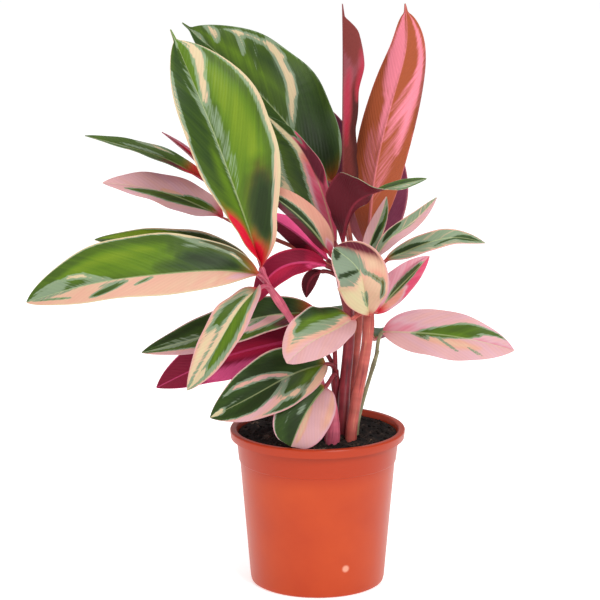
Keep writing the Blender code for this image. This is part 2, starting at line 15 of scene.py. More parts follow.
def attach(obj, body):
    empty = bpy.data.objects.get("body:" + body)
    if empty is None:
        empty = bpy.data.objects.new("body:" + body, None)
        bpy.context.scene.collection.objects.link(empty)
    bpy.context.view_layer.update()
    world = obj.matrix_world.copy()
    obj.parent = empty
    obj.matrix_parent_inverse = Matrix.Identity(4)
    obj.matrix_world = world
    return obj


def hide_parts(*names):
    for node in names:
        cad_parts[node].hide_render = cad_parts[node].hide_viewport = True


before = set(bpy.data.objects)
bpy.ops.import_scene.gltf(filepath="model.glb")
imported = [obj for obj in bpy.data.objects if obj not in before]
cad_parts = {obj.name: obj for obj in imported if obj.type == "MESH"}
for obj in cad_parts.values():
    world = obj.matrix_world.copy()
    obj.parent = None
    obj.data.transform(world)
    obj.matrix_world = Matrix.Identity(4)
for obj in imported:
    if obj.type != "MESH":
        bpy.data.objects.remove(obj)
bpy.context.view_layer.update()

MM = 0.001

POT_HEIGHT = 126.0
LIP_RADIUS = 70.0
LIP_DEPTH = 7.0
FOOT_RADIUS = 53.9
WALL = 1.3
FOOT_CORNER = 4.0
FOOT_RING = 44.0
PAD_RADIUS = 14.0
RECESS = 1.5
STEP_HEIGHT = 100.0
STEP_RADIUS = 63.0
STEP_DEPTH = 0.9
POT_SIDES = 160
MOULD_ROUNDING = 0.35
DRAIN_HOLES = 8
DRAIN_RADIUS = 3.5
DRAIN_DEPTH = 10.0  # of the drill
DRAIN_CIRCLE = 29.0
RUB_PLACE = (0.022, -0.051, 0.024)  # metres, a pale mark on the wall

SOIL_EDGE = 121.5
SOIL_CROWN = 4.0
SOIL_LUMPS = 0.9
SOIL_GRIT = 1.1  # height of the finer lumps
SOIL_GRAIN = 0.35  # scale of their noise, for lumps about 3 mm across
SOIL_NOISE = (0.9, 2.1, 4)  # its fractal dimension, the step between its octaves, and their number
SOIL_CALM = 3.0  # width along the edge over which they fade
SOIL_GAP = 0.3  # to the pot
SOIL_SIDES = 150
SOIL_RINGS = 70
CRUMBS = 900
CRUMB_SIZES = (0.7, 3.4)
CRUMB_DEPTHS = (0.5, 1.0)  # over their lengths
CRUMB_HEIGHTS = (0.35, 0.9)  # likewise
CRUMB_LIFT = 0.2  # of a crumb's length, from the mix to its middle
CRUMB_MARGIN = 2.5  # to the pot
CRUMB_DENTS = 0.55
CRUMB_NOISE = 1.6  # scale of those dents
CRUMB_TILT = 0.6  # radians

BLADE_THICKNESS = 0.45
RIB_HEIGHT = 0.9  # of the midrib under the blade
RIB_WIDTH = 1.3  # half of its width at the stalk
RIB_TAPER = 0.75  # of that width is lost at the tip
RIB_FADE = 1.1  # place along the blade where its height would come to nothing
RIB_LEAST = 0.15  # of its height stays
GROOVE = 0.25  # depth of the midrib's groove in the upper side
GROOVE_FADE = 1.2  # place where that depth would come to nothing
PLEAT = 0.09  # height of the pleats between side veins
PLEAT_START = 4.0  # from the midrib to where they have it
PLEAT_RIM = 0.2  # of the half width, over which they fade
VEIN_SPACING = 5.2  # along the midrib
VEIN_SLANT = 1.5  # how far a side vein runs on for each millimetre that it goes out
VEIN_BEND = 0.5  # more of it towards the edge
FINE_VEINS = 4.0  # for each of those
BLADE_FOOT = 1.5  # half the width where a blade meets its stalk
BLADE_TIP = 0.5
DRIP_WIDTH = 2.2  # half of it where a drawn-out tip starts
CUP_REACH = 0.14
WAVES = 3.0  # along an edge
WAVE_STARTS = (2.6, 0.8)  # phases of the left and the right edge
MESH_STEP = 1.7  # size of a blade's facets
LEAST_COLUMNS = 10  # of facets in half a blade
CROWDING = 1.25  # how much closer they are at the midrib
CURVE_STEPS = 241
LENGTH_STEPS = 60  # where only the length is wanted
SHORT_STEP = 0.02  # of a curve, that tells which way it runs
SEAM_REACH = 0.02

BARE_LEAF = (0.0, 0.3, 0.5, 0.0)  # pale, pink, dark and red before any paint
MARK_SOFTNESS = 0.2  # of a mark's edge, in half blades
MARK_TAPER = 0.6  # lower makes its ends blunter
MARK_END = 0.02  # of its length, over which it narrows no further
LEAF_SEED = 37.0  # from one blade's pattern to the next
RIM_SOFTNESS = 0.06
FLUSH_SOFTNESS = 0.12
FLUSH_STRENGTH = 0.9

STALK_SIDES = 14
STALK_RINGS = 26
STALK_THICK = 2.0  # greatest radius where a stalk leaves its shoot
STALK_OVERRUN = 2.0  # how far it runs on under the blade
STALK_END = (0.9, 0.7, 0.4)  # how its last rings narrow
STALK_SEEDS = (3.0, 7.0)  # the first pattern, and from one to the next
KNUCKLE = (0.3, 0.86, 0.08)  # the swelling below a blade: height, place and reach along the stalk
CANE_SIDES = 20
CANE_RINGS = 70
SHEATH_RIDGE = (0.35, 0.06, 0.05)  # at a sheath's end: height, how far below the stalk, and reach

BUD_PATH = ((11, -37, 104), (11, -37, 120), (12, -35, 138), (13.5, -32, 156))
BUD_FOOT = 6.2
BUD_TAPER = ((0, 0.3, 0.5, 0.65, 0.8, 0.92, 1), (0.8, 1.0, 1.0, 0.85, 0.6, 0.35, 0.12))  # place, radius share
BUD_RINGS = 50

CAMERA_PLACE = (-0.014, -2.0, 0.666)  # metres
CAMERA_AIM = (-0.014, 0.0, 0.230)
CAMERA_LENS = 155.2
SENSOR_WIDTH = 36
FAR_CLIP = 30
FLOOR_SIZE = 14
SKY = 0.55
FLOOR_GLOW = 0.5  # keeps the far floor as pale as the near
LAMP_AIM = (0, 0, 0.25)
LAMPS = (
    ("Key", (0.9, -1.6, 1.6), 0.8, 26),
    ("Fill", (-1.5, -1.3, 0.9), 1.4, 8),
    ("Top", (0.0, 0.2, 2.0), 1.4, 16),
)  # name, place in metres, size in metres and power in watts

UNDERSIDES = {
    "plum": ("6E2440", "B0626E"),
    "dusky": ("7A3430", "8A4A50"),
    "maroon": ("5A1420", "983040"),
    "magenta": ("98163A", "F45A94"),
    "coral": ("A4502F", "F08898"),
}  # what is green above, and what is pale above

STEM_SKINS = {
    "cane": ("B8584E", "8E3438", "D08A6A"),
    "maroon": ("8A3038", "561A26", "A85A44"),
    "rose": ("C65A70", "96304A", "DDA09A"),
    "olive": ("86805E", "5E5244", "AAA488"),
}  # skin, its dark streaks, and its pale ones

FEATHERS = (0.34, 0.05, 1.0)  # scale for feathers about 3 mm wide and 20 mm long, as real ones of 1 to 4 mm
CLOUDS = (0.11, 0.03, 1.0)  # scale for clouds about 10 mm wide and 30 mm long
SOFT = {"interpolation_type": "SMOOTHSTEP"}
COLOURS = {"data_type": "RGBA"}


@dataclass
class Shoot:
    """A sheathed stem that stands in the mix, from its buried foot up to where its last leaf parts."""

    name: str
    path: tuple
    foot: float  # radius
    top: float
    colour: str


@dataclass
class Leaf:
    """A blade on its stalk. Left and right are as seen on the upper side, with the tip up."""

    name: str
    shoot: str
    leaves_at: float  # where the stalk parts from the shoot, from 0 at its foot to 1 at its top
    path: tuple  # points along the midrib, from the stalk to the tip
    width: float
    face: tuple  # where the upper side looks, evenly along the midrib
    colour: str
    fold: tuple = (18.0, 18.0)  # degrees that the left and the right half rise from flat
    curl: tuple = (-14.0, -14.0)  # degrees that they bend on their way to the edge
    cup: float = 35.0  # degrees that the halves are folded up more at the stalk
    belly: float = 0.43  # where it is widest
    slim: float = 1.4
    wave: float = 0.05  # height of the edge's waves, over half the width
    left: tuple = (1.0,)  # width of the left half over the outline's, evenly along the blade
    right: tuple = (1.0,)
    drip: float = 0.0  # part of the length that is a thin drawn-out tip
    stalk: float = 1.5  # radius of the stalk at the blade


SHOOTS = (
    Shoot("front_shoot", ((26, -30, 92), (26, -30, 110), (26.2, -29.7, 127), (33.5, -18, 168),
          (40, -14, 217), (38, -3, 252)), 4.8, 4.0, "cane"),
    Shoot("centre_shoot", ((20, -18, 92), (20, -18, 110), (20.1, -17.8, 127), (22, -6, 166),
          (25, 3, 213), (15, 2, 262)), 4.9, 4.1, "maroon"),
    Shoot("left_shoot", ((8.5, -19, 92), (8.5, -19, 110), (8.4, -18.8, 127), (2, -10, 167), (-24, -14, 222),
          (-41, -22, 249)), 3.4, 2.6, "rose"),
    Shoot("back_shoot", ((28, -4, 92), (28, -4, 110), (28, -3.8, 127), (28, 6, 160), (31, 15, 195),
          (32, 24, 228), (29, 28, 252)), 4.4, 3.8, "cane"),
    Shoot("right_shoot", ((31, -15, 92), (31, -15, 110), (31.2, -14.8, 127), (39, -6, 160), (48, 4, 188)),
          1.8, 1.5, "olive"),
    Shoot("low_shoot", ((11, -10, 92), (11, -10, 110), (11.2, -9.6, 126), (14, -4, 151), (14, -4, 174)), 3.3,
          2.8, "maroon"),
)

ROLLED_WIDTHS = (1, 1.5, 1.65, 1, 0.7, 0.58, 0.82, 0.74, 0.1)  # a narrow roll that opens near its tip

LEAVES = (
    Leaf("tall_left_blade", "left_shoot", 0.94, ((-44, -27, 261), (-60, -38, 313), (-84, -42, 380),
         (-113, -25, 447)), 80, ((0.5, -0.86, 0), (0.5, -0.86, 0.1), (0.35, -0.9, 0.3)), "green",
         fold=(20, 20), cup=60, belly=0.6, slim=1.9, left=(1.8, 0.64, 0.67, 0.68, 0.65, 0.64),
         right=(2.2, 1.3, 1.19, 1.14, 1.12, 1.1), drip=0.045, stalk=2.4),
    Leaf("tall_back_blade", "back_shoot", 0.93, ((11, 52, 316), (-20, 60, 356), (-51, 58, 391),
         (-107, 40, 445)), 88, ((0.45, -0.77, 0.45),), "green", fold=(30, 26), cup=20, left=(0.96,),
         right=(0.85, 0.94, 1.04, 1.04, 1.04), drip=0.04),
    Leaf("inner_left_blade", "centre_shoot", 0.95, ((14, 4, 275), (0, 5, 325), (-16, 8, 354),
         (-39, 10, 375)), 60, ((-0.75, -0.6, 0.25),), "olive", fold=(15, -5), cup=10, left=(1.3,),
         right=(0.3,)),
    Leaf("low_inner_blade", "centre_shoot", 0.92, ((9, -14, 271), (-5, -25, 292), (-23, -25, 309),
         (-49, -18, 326)), 25, ((-0.3, -0.85, 0.4),), "cream", cup=20, left=(0.6, 0.5, 0.5),
         right=(1.1,)),
    Leaf("arching_blade", "centre_shoot", 0.94, ((19.5, -13, 278), (23.5, -22.5, 302), (30, -28.5, 314),
         (45, -30, 322), (63, -28, 327), (84, -22, 331)), 42, ((0.2, 0.9, -0.4), (0.1, 0.9, -0.4),
         (0.1, 0.85, -0.4), (0, 0.2, 0.95), (0, -0.75, 0.65), (0, -0.75, 0.65)), "maroon", slim=1.1,
         left=(0.15, 0.12, 0.3, 0.3, 0.3),
         right=(0.7, 0.7, 0.8, 1.27, 1.4, 0.85, 0.7, 0.42, 0.35, 0.32, 0.3)),
    Leaf("rolled_blade", "back_shoot", 0.95, ((20, 22, 270), (20, 28, 329), (20, 30, 389), (19.8, 28, 429),
         (19, 20, 462)), 43, ((0.9, 0.4, 0.1),), "maroon", fold=(50, 75), curl=(20, 10), belly=0.78,
         slim=2.1, left=ROLLED_WIDTHS, right=ROLLED_WIDTHS, drip=0.055),
    Leaf("tall_right_blade", "back_shoot", 0.95, ((40, 26, 264), (45.5, 36, 323), (56, 38, 372),
         (63.5, 36, 400), (69.5, 32, 427), (68, 22, 462)), 51, ((0.1, 0.95, 0.1),), "coral",
         fold=(20, 20), curl=(10, 10), belly=0.5, slim=1.3, wave=0.07, right=(1, 1, 0.84, 0.82, 0.82, 0.9),
         drip=0.035),
    Leaf("far_left_upper_blade", "back_shoot", 0.8, ((-89, 24, 321), (-117, 26, 337), (-148, 24, 348),
         (-183, 14, 359)), 20, ((-0.1, -0.4, 0.9),), "green", fold=(25, 25)),
    Leaf("spike_blade", "back_shoot", 0.86, ((-76, 42, 310), (-101, 44, 338), (-124, 40, 358)), 10,
         ((0.3, -0.8, 0.5),), "rose", fold=(60, 60)),
    Leaf("far_left_lower_blade", "back_shoot", 0.76, ((-75, 12, 294), (-105, 14, 308), (-132, 12, 317),
         (-169, 5, 323)), 34, ((-0.1, -0.6, 0.8),), "pale_pink", fold=(20, 20)),
    Leaf("tucked_blade", "centre_shoot", 0.93, ((8, 6, 261), (-7, -1, 276), (-22, -3, 288), (-43, 0, 300)),
         22, ((0.1, 0.95, -0.1),), "rose", fold=(30, 30)),
    Leaf("behind_left_blade", "left_shoot", 0.93, ((-50, -8, 254), (-81, -1, 268), (-124, 3, 275),
         (-176, 3, 278)), 31, ((-0.1, -0.6, 0.8),), "olive"),
    Leaf("broad_left_blade", "left_shoot", 0.95, ((-46, -32, 257), (-72, -46, 263), (-114, -56, 263),
         (-167, -60, 257), (-225, -50, 239)), 60, ((-0.2, -0.75, 0.6),), "green", belly=0.5, slim=1.5,
         left=(0.87, 0.78, 0.66, 0.68, 0.7), right=(1.13,)),
    Leaf("hanging_blade", "left_shoot", 0.94, ((-46, -42, 248), (-60, -70, 239), (-79, -85, 210),
         (-100, -85, 178)), 34, ((-0.5, -0.6, 0.6), (-0.3, -0.9, 0.3)), "cream"),
    Leaf("low_left_blade", "low_shoot", 0.95, ((0, 8, 218), (-44, 5, 215), (-89, -4, 202),
         (-139, -12, 190)), 38, ((-0.1, -0.7, 0.7),), "dark_green"),
    Leaf("red_under_blade", "low_shoot", 0.92, ((-12, 16, 195), (-44, 14, 189), (-82, 12, 178),
         (-129, 10, 156)), 48, ((-0.2, 0.95, 0.2),), "magenta"),
    Leaf("front_pale_blade", "front_shoot", 0.8, ((27, -29, 221), (12, -51, 217), (-8, -69, 210),
         (-24, -80, 198)), 52, ((-0.1, -0.75, 0.65),), "pale_pink", cup=10, slim=1.1,
         left=(0.45, 0.6, 0.85, 0.85)),
    Leaf("striped_blade", "low_shoot", 0.94, ((6, -22, 183), (-16, -36, 180), (-44, -45, 167),
         (-84, -50, 147)), 50, ((-0.1, -0.8, 0.5),), "dark_green"),
    Leaf("drooping_blade", "low_shoot", 0.9, ((6, -32, 167), (-6, -45, 155), (-15, -52, 140),
         (-21, -56, 125.5)), 45, ((-0.1, -0.9, 0.3),), "dark_green", cup=15, belly=0.55, slim=0.8),
    Leaf("centre_blade", "front_shoot", 0.82, ((41, -20, 222), (36, -38, 244), (31, -47, 264),
         (12, -42, 280)), 42, ((-0.1, -0.8, 0.5),), "cream", cup=20, belly=0.6, slim=1.6),
    Leaf("right_up_blade", "front_shoot", 0.81, ((46, -16, 223), (60, -21, 241), (75, -22, 257),
         (87, -18, 269)), 30, ((0.3, -0.9, 0.3),), "rose", right=(0.6,)),
    Leaf("right_small_blade", "front_shoot", 0.94, ((37, 5, 261), (43, 7, 279), (50, 7, 297), (54, 5, 312)),
         14, ((0.2, -0.9, 0.3),), "dark_green"),
    Leaf("right_narrow_blade", "front_shoot", 0.95, ((46, -2, 265), (58, -8, 282), (74, -8, 294),
         (93, -4, 313)), 14, ((0, -0.8, 0.6),), "pale_pink"),
    Leaf("right_wavy_blade", "front_shoot", 0.93, ((53, -6, 262.5), (80, -10, 275.5), (107, -12, 282.5),
         (131, -8, 277.5)), 18, ((0, -0.7, 0.7),), "dark_green"),
    Leaf("right_broad_blade", "right_shoot", 0.94, ((52, 5, 203), (79, -3, 204), (112, -10, 202),
         (155, -13, 192)), 46, ((0.1, -0.9, 0.5),), "pale_pink", cup=20,
         left=(1, 0.87, 0.86, 0.92), right=(0.85, 0.85, 1, 1)),
    Leaf("curled_blade", "centre_shoot", 0.9, ((7, -3, 258), (-12, -8, 262), (-31, -10, 257),
         (-44, -8, 242), (-50, -6, 228)), 24, ((-0.1, 0.9, 0.3), (0.5, 0.9, 0.1)), "maroon"),
    Leaf("curled_hanging_blade", "centre_shoot", 0.88, ((3, 6, 252), (-5, 4, 247), (-9, 0, 232)), 12,
         ((0.2, 0.9, 0.3),), "maroon"),
    Leaf("back_left_blade", "back_shoot", 0.75, ((6, 38, 180), (-22, 85, 174), (-56, 130, 158)), 46,
         ((-0.1, 0.4, 0.9),), "green"),
    Leaf("back_low_blade", "back_shoot", 0.83, ((14, 48, 202), (2, 90, 202), (-18, 138, 180)), 40,
         ((0, 0.3, 0.9),), "pale_pink"),
    Leaf("back_right_blade", "back_shoot", 0.8, ((46, 32, 190), (72, 75, 187), (104, 118, 173)), 46,
         ((0.1, 0.4, 0.9),), "dark_green"),
    Leaf("back_high_blade", "back_shoot", 0.92, ((40, 48, 264), (50, 76, 305), (60, 104, 345)), 50,
         ((0.2, 0.9, 0.3),), "green"),
    Leaf("back_tall_blade", "back_shoot", 0.94, ((22, 56, 284), (8, 84, 335), (-12, 104, 380)), 54,
         ((-0.2, 0.9, 0.3),), "green"),
)


@dataclass
class Look:
    """How one blade is coloured. A mark is a pointed streak: its paint, then how far along the blade and how
    far across it, from -1 to 1, it starts, the same for its end, and its width in half blades."""

    left: str
    right: str
    marks: tuple = ()
    rim: str = "cream"
    rim_width: float = 0.05
    flush: float = 0.04  # how far the red of the stalk runs into the blade
    under: str = "plum"


# How pale, how pink, how dark and how red each paint is. None keeps what lies under it.
PAINTS = {
    "lime": (0.0, None, 0.05, 0.0),
    "grass": (0.0, None, 0.28, 0.0),
    "green": (0.0, None, 0.5, 0.0),
    "deep": (0.0, None, 0.75, 0.0),
    "teal": (0.0, None, 1.0, 0.0),
    "bronze": (0.0, None, 0.7, 0.4),
    "grey": (0.48, None, None, 0.0),
    "mist": (0.56, 0.3, 0.6, 0.0),
    # A painted sheen: bluish grey where a blade reflects the bright sky.
    "painted_sky_sheen": (0.5, 0.5, 1.0, 0.0),
    "cream": (1.0, 0.05, None, 0.0),
    "tan": (1.0, 0.3, None, 0.1),
    "clay": (1.0, 0.4, 0.5, 0.55),
    "peach": (1.0, 0.42, None, 0.0),
    "blush": (1.0, 0.68, None, 0.0),
    "pink": (1.0, 0.84, None, 0.0),
    "rose": (1.0, 1.0, None, 0.1),
    "mauve": (1.0, 0.95, 0.6, 0.25),
    "ember": (1.0, 0.4, 0.0, 0.55),
    "red": (None, None, 0.1, 1.0),
    "maroon": (None, None, 1.0, 1.0),
}

LOOKS = {
    "tall_left_blade": Look("green", "grass", (
        ("green", 0.2, 0.75, 0.95, 0.8, 0.3), ("lime", 0.32, 0.55, 0.86, 0.45, 0.45),
        ("deep", 0.4, -0.5, 1.0, -0.5, 0.8), ("grass", 0.2, -0.2, 0.52, -0.3, 0.4),
        ("bronze", 0.04, 0.55, 0.4, 0.55, 0.8), ("teal", 0.09, 0.55, 0.34, 0.55, 0.6),
        ("red", -0.2, 0.4, 0.13, 0.1, 1.3), ("red", -0.1, -0.3, 0.3, -0.95, 1.1),
        ("mist", 0.24, -0.04, 0.9, -0.06, 0.13), ("grey", 0.3, 0.02, 0.46, 0.2, 0.1),
        ("grey", 0.4, 0.02, 0.56, 0.24, 0.1), ("mist", 0.47, 0.02, 0.66, 0.22, 0.07),
        ("mist", 0.56, 0.02, 0.76, 0.2, 0.07), ("grey", 0.62, 0.0, 0.86, 0.22, 0.08),
        ("mist", 0.66, -0.05, 0.8, -0.4, 0.12), ("grey", 0.76, -0.05, 0.88, -0.3, 0.1),
        ("cream", 0.7, 0.06, 0.95, 0.55, 0.14), ("cream", 0.82, 0.35, 0.98, 1.0, 0.24),
        ("grey", 0.92, -0.3, 1.05, 0.0, 0.9), ("peach", 0.0, 0.9, 0.4, 0.93, 0.2),
        ("cream", 0.2, 0.94, 0.9, 0.98, 0.12), ("cream", 0.6, -0.92, 0.84, -0.9, 0.1),
        ("tan", 0.28, -0.95, 0.62, -0.97, 0.07)), rim_width=0.02, flush=0.09),
    "tall_back_blade": Look("deep", "green", (
        ("teal", -0.05, 0.45, 0.34, 0.35, 0.9), ("deep", 0.1, 0.7, 0.75, 0.4, 0.6),
        ("grass", 0.4, 0.3, 1.0, 0.3, 0.3), ("cream", 0.31, 0.08, 0.47, 0.62, 0.13),
        ("cream", 0.41, 0.46, 0.64, 0.92, 0.15), ("cream", 0.55, 0.84, 0.82, 0.84, 0.07),
        ("cream", 0.69, 0.38, 0.78, 0.85, 0.06), ("mist", 0.6, 0.3, 0.68, 0.7, 0.05),
        ("cream", 0.82, 0.3, 0.9, 0.95, 0.16), ("mist", 0.86, -0.1, 1.0, 0.2, 0.5),
        ("mist", 0.06, 0.0, 0.9, 0.02, 0.05), ("grey", 0.1, -0.1, 0.5, -0.8, 0.14),
        ("blush", 0.0, 0.98, 0.16, 0.98, 0.1)), rim="grey", rim_width=0.03, flush=0.05),
    "inner_left_blade": Look("cream", "rose", (
        ("green", -0.1, -0.5, 1.0, -0.45, 0.52), ("deep", 0.2, -0.4, 1.0, -0.3, 0.3),
        # Painted shade: the darker mauve stripe just left of the midrib stands for shade along the pink band.
        ("mauve", -0.1, -0.15, 0.64, -0.1, 0.36), ("rose", -0.1, -0.04, 0.56, -0.04, 0.2),
        ("grass", 0.5, -0.92, 0.98, -0.9, 0.14), ("red", 0.46, -0.06, 0.66, -0.04, 0.16),
        ("maroon", 0.4, 0.5, 0.8, 0.5, 1.8), ("deep", 0.78, 0.5, 1.1, 0.4, 2.0)), rim="grey", rim_width=0.03,
        flush=0.03),
    "low_inner_blade": Look("maroon", "clay", (
        ("mauve", -0.1, 0.5, 0.16, 0.5, 1.0), ("teal", 0.1, -0.05, 0.96, 0.14, 0.62)), rim_width=-0.05,
        flush=0.05),
    "arching_blade": Look("green", "green", (
        ("deep", 0.6, -0.4, 1.0, -0.2, 0.7), ("mist", 0.6, 0.5, 1.05, 0.4, 0.8)), rim="mist", under="maroon"),
    "rolled_blade": Look("tan", "deep", (
        ("teal", 0.1, -0.8, 0.72, -0.8, 0.9), ("green", 0.0, -0.3, 0.5, -0.3, 0.9),
        ("red", 0.42, -0.25, 0.72, -0.3, 0.5), ("green", 0.76, -0.5, 1.0, -0.4, 1.2),
        ("red", 0.6, -0.9, 0.8, -0.9, 0.3), ("teal", 0.2, 0.5, 0.9, 0.5, 2.0)), rim_width=-0.05,
        under="dusky"),
    "tall_right_blade": Look("green", "green", (
        ("rose", 0.62, 0.35, 0.98, 0.5, 0.9), ("rose", 0.4, 0.12, 0.8, 0.16, 0.3),
        ("grey", 0.2, 0.1, 0.5, 0.5, 0.7), ("grey", 0.2, -0.1, 0.5, -0.5, 0.6),
        ("deep", 0.2, 0.9, 0.62, 0.95, 0.3), ("pink", 0.44, -0.05, 0.66, -0.75, 0.16),
        ("pink", 0.5, -0.05, 0.72, -0.8, 0.12), ("blush", 0.56, -0.05, 0.78, -0.8, 0.08),
        ("rose", 0.6, -0.9, 0.98, -0.6, 0.3), ("pink", 0.4, -0.6, 0.76, -0.75, 0.3),
        ("teal", 0.5, -0.99, 0.8, -1.0, 0.14)), rim="blush", rim_width=0.0, under="coral"),
    "far_left_upper_blade": Look("maroon", "green", (
        ("green", 0.34, -0.5, 1.1, -0.5, 1.6), ("mist", 0.35, 0.15, 0.75, 0.3, 0.3),
        ("mist", 0.6, -0.4, 0.95, -0.3, 0.5), ("cream", 0.3, 0.7, 0.6, 0.85, 0.2)), rim="mist", rim_width=0.1,
        flush=0.2),
    "spike_blade": Look("blush", "pink", (("red", 0.2, 0.4, 0.9, 0.4, 0.5),), rim="pink", flush=0.3),
    "far_left_lower_blade": Look("blush", "blush", (
        ("green", 0.06, 0.3, 0.5, -0.3, 0.6), ("green", 0.1, 0.0, 0.82, -0.5, 0.62),
        ("deep", 0.15, -0.05, 0.6, -0.4, 0.3), ("cream", 0.36, 0.14, 0.52, 0.1, 0.05)), rim="blush",
        flush=0.1),
    "tucked_blade": Look("pink", "teal", (
        ("red", -0.1, -0.4, 0.34, -0.4, 2.0), ("red", -0.1, 0.3, 0.3, 0.3, 1.0)), rim_width=-0.05,
        under="magenta", flush=0.2),
    "behind_left_blade": Look("deep", "deep", (
        ("bronze", 0.0, 0.6, 0.3, 0.6, 0.9), ("lime", 0.5, 0.6, 1.0, 0.5, 0.9),
        ("cream", 0.3, 0.9, 0.7, 0.95, 0.1)), flush=0.1),
    "broad_left_blade": Look("peach", "green", (
        ("grass", 0.3, 0.3, 0.8, 0.4, 0.7), ("bronze", -0.02, 0.9, 0.3, 1.0, 0.7),
        ("teal", 0.08, 0.25, 0.34, 0.36, 0.5), ("deep", 0.2, 0.1, 0.44, 0.2, 0.24),
        # Painted sheen: the small mist streak a quarter of the way along, two thirds out on the right half,
        # stands for a soft highlight.
        ("lime", 0.4, 0.66, 0.84, 0.5, 0.2), ("mist", 0.24, 0.66, 0.34, 0.72, 0.1),
        ("cream", 0.05, 0.3, 0.13, 0.74, 0.06), ("cream", 0.1, 0.66, 0.36, 0.98, 0.07),
        ("cream", 0.64, 0.02, 0.8, 0.4, 0.07), ("cream", 0.74, 0.3, 0.96, 0.5, 0.07),
        ("mist", 0.6, -0.02, 0.8, 0.04, 0.14), ("grey", 0.8, 0.2, 1.05, 0.0, 0.7),
        ("tan", 0.14, -0.1, 0.2, -0.95, 0.12), ("tan", 0.2, -0.3, 0.26, -0.95, 0.1),
        ("ember", 0.17, -0.2, 0.21, -0.8, 0.05), ("tan", 0.28, -0.15, 0.34, -0.95, 0.08),
        ("blush", 0.0, -0.5, 0.16, -0.6, 0.7), ("green", 0.46, -0.1, 0.535, -0.42, 0.12),
        ("mist", 0.54, -0.03, 0.72, -0.3, 0.24), ("green", 0.57, -0.2, 0.72, -0.75, 0.26),
        ("deep", 0.62, -0.42, 0.7, -0.7, 0.1), ("mist", 0.76, -0.03, 1.0, -0.3, 0.4),
        ("grass", 0.8, -0.6, 0.96, -0.4, 0.12)), rim="cream", flush=0.06),
    "hanging_blade": Look("grey", "mist", (
        ("grass", 0.08, -0.2, 0.8, -0.4, 0.5), ("green", 0.16, 0.3, 0.6, 0.6, 0.34),
        ("cream", 0.1, 0.05, 0.9, 0.1, 0.1), ("cream", 0.5, 0.5, 0.95, 0.7, 0.3),
        ("blush", 0.0, -0.85, 0.5, -0.92, 0.3), ("cream", 0.8, -0.3, 1.02, -0.1, 0.5)), rim="blush",
        rim_width=0.12, flush=0.08),
    "low_left_blade": Look("green", "deep", (
        # Painted shade: the navy-teal patch that fills the right half near the stalk stands for shadow there.
        ("teal", -0.05, 0.3, 0.26, 0.2, 1.6), ("maroon", -0.02, -0.6, 0.24, -0.7, 0.8),
        ("blush", 0.18, -0.1, 0.46, -0.5, 0.7), ("green", 0.29, -0.05, 0.4, -0.35, 0.14),
        ("mist", 0.66, 0.2, 1.0, 0.4, 0.14), ("teal", 0.6, 0.7, 0.95, 0.5, 0.3),
        ("grey", 0.62, 0.0, 1.05, -0.2, 0.5), ("blush", 0.6, -0.9, 1.0, -0.75, 0.5)), rim="blush", flush=0.1),
    "red_under_blade": Look("deep", "deep", (
        ("pink", 0.08, 0.85, 0.76, 0.7, 0.75), ("red", 0.1, 0.1, 0.6, -0.1, 0.5)), rim="pink",
        under="magenta"),
    "front_pale_blade": Look("blush", "blush", (
        ("mist", -0.1, 0.5, 0.86, 0.5, 0.9), ("grass", 0.0, 0.62, 0.7, 0.62, 0.44),
        ("teal", -0.1, 0.92, 0.62, 0.94, 0.5), ("grey", 0.2, 0.3, 0.74, 0.4, 0.3)), rim="blush",
        rim_width=0.02, flush=0.05),
    "striped_blade": Look("deep", "deep", (
        ("tan", -0.05, -0.4, 0.42, -0.6, 1.1), ("grass", 0.02, -0.1, 0.36, -0.45, 0.6),
        ("bronze", 0.2, -0.6, 0.4, -0.9, 0.1), ("teal", 0.22, 0.5, 0.74, 0.66, 0.5),
        ("deep", 0.22, -0.12, 0.42, -0.5, 0.26), ("blush", 0.3, 0.03, 0.56, 0.42, 0.2),
        ("blush", 0.48, 0.34, 0.84, 0.76, 0.17), ("pink", 0.36, -0.04, 0.66, -0.7, 0.27),
        ("blush", 0.46, -0.6, 0.94, -1.0, 0.36), ("teal", 0.44, 0.14, 0.9, 0.2, 0.26),
        ("teal", 0.42, -0.1, 0.9, -0.55, 0.44), ("grey", 0.52, 0.0, 0.9, -0.1, 0.07),
        ("grey", 0.7, 0.2, 0.94, 0.1, 0.14), ("cream", 0.9, 0.2, 1.02, -0.2, 0.6)), rim="blush",
        rim_width=0.06),
    "drooping_blade": Look("blush", "deep", (
        ("deep", -0.05, 0.2, 0.36, 0.15, 0.5), ("tan", 0.05, 0.6, 0.42, 0.6, 0.5),
        ("teal", 0.5, 0.2, 1.0, 0.2, 0.5), ("grey", 0.36, 0.2, 0.6, 0.22, 0.22),
        ("grey", 0.45, 0.45, 0.98, 0.6, 0.1), ("cream", 0.4, -0.05, 0.9, -0.22, 0.1),
        ("peach", 0.05, -0.8, 0.6, -0.9, 0.3)), rim="pink", rim_width=0.09),
    "centre_blade": Look("cream", "tan", (
        ("grey", 0.08, -0.04, 0.42, -0.12, 0.24), ("teal", 0.16, 0.03, 0.4, 0.1, 0.13),
        # Painted sheen: the two bluish-grey streaks over the tip half stand for the sky reflected in the
        # blade.
        ("painted_sky_sheen", 0.52, -0.5, 1.1, -0.4, 1.8), ("painted_sky_sheen", 0.6, 0.1, 1.1, 0.3, 0.7),
        ("teal", 0.66, -0.05, 0.76, -0.9, 0.1), ("teal", 0.92, -0.5, 1.05, 0.1, 0.5),
        ("grey", 0.5, -0.1, 0.58, -0.8, 0.1), ("maroon", 0.66, 0.9, 1.1, 0.75, 1.0),
        ("ember", 0.5, 0.98, 0.62, 0.4, 0.3), ("bronze", 0.28, 0.8, 0.54, 0.78, 0.15),
        ("bronze", 0.5, 0.75, 0.62, 0.2, 0.12)), rim="blush", rim_width=0.03, flush=0.08),
    "right_up_blade": Look("pink", "rose", (
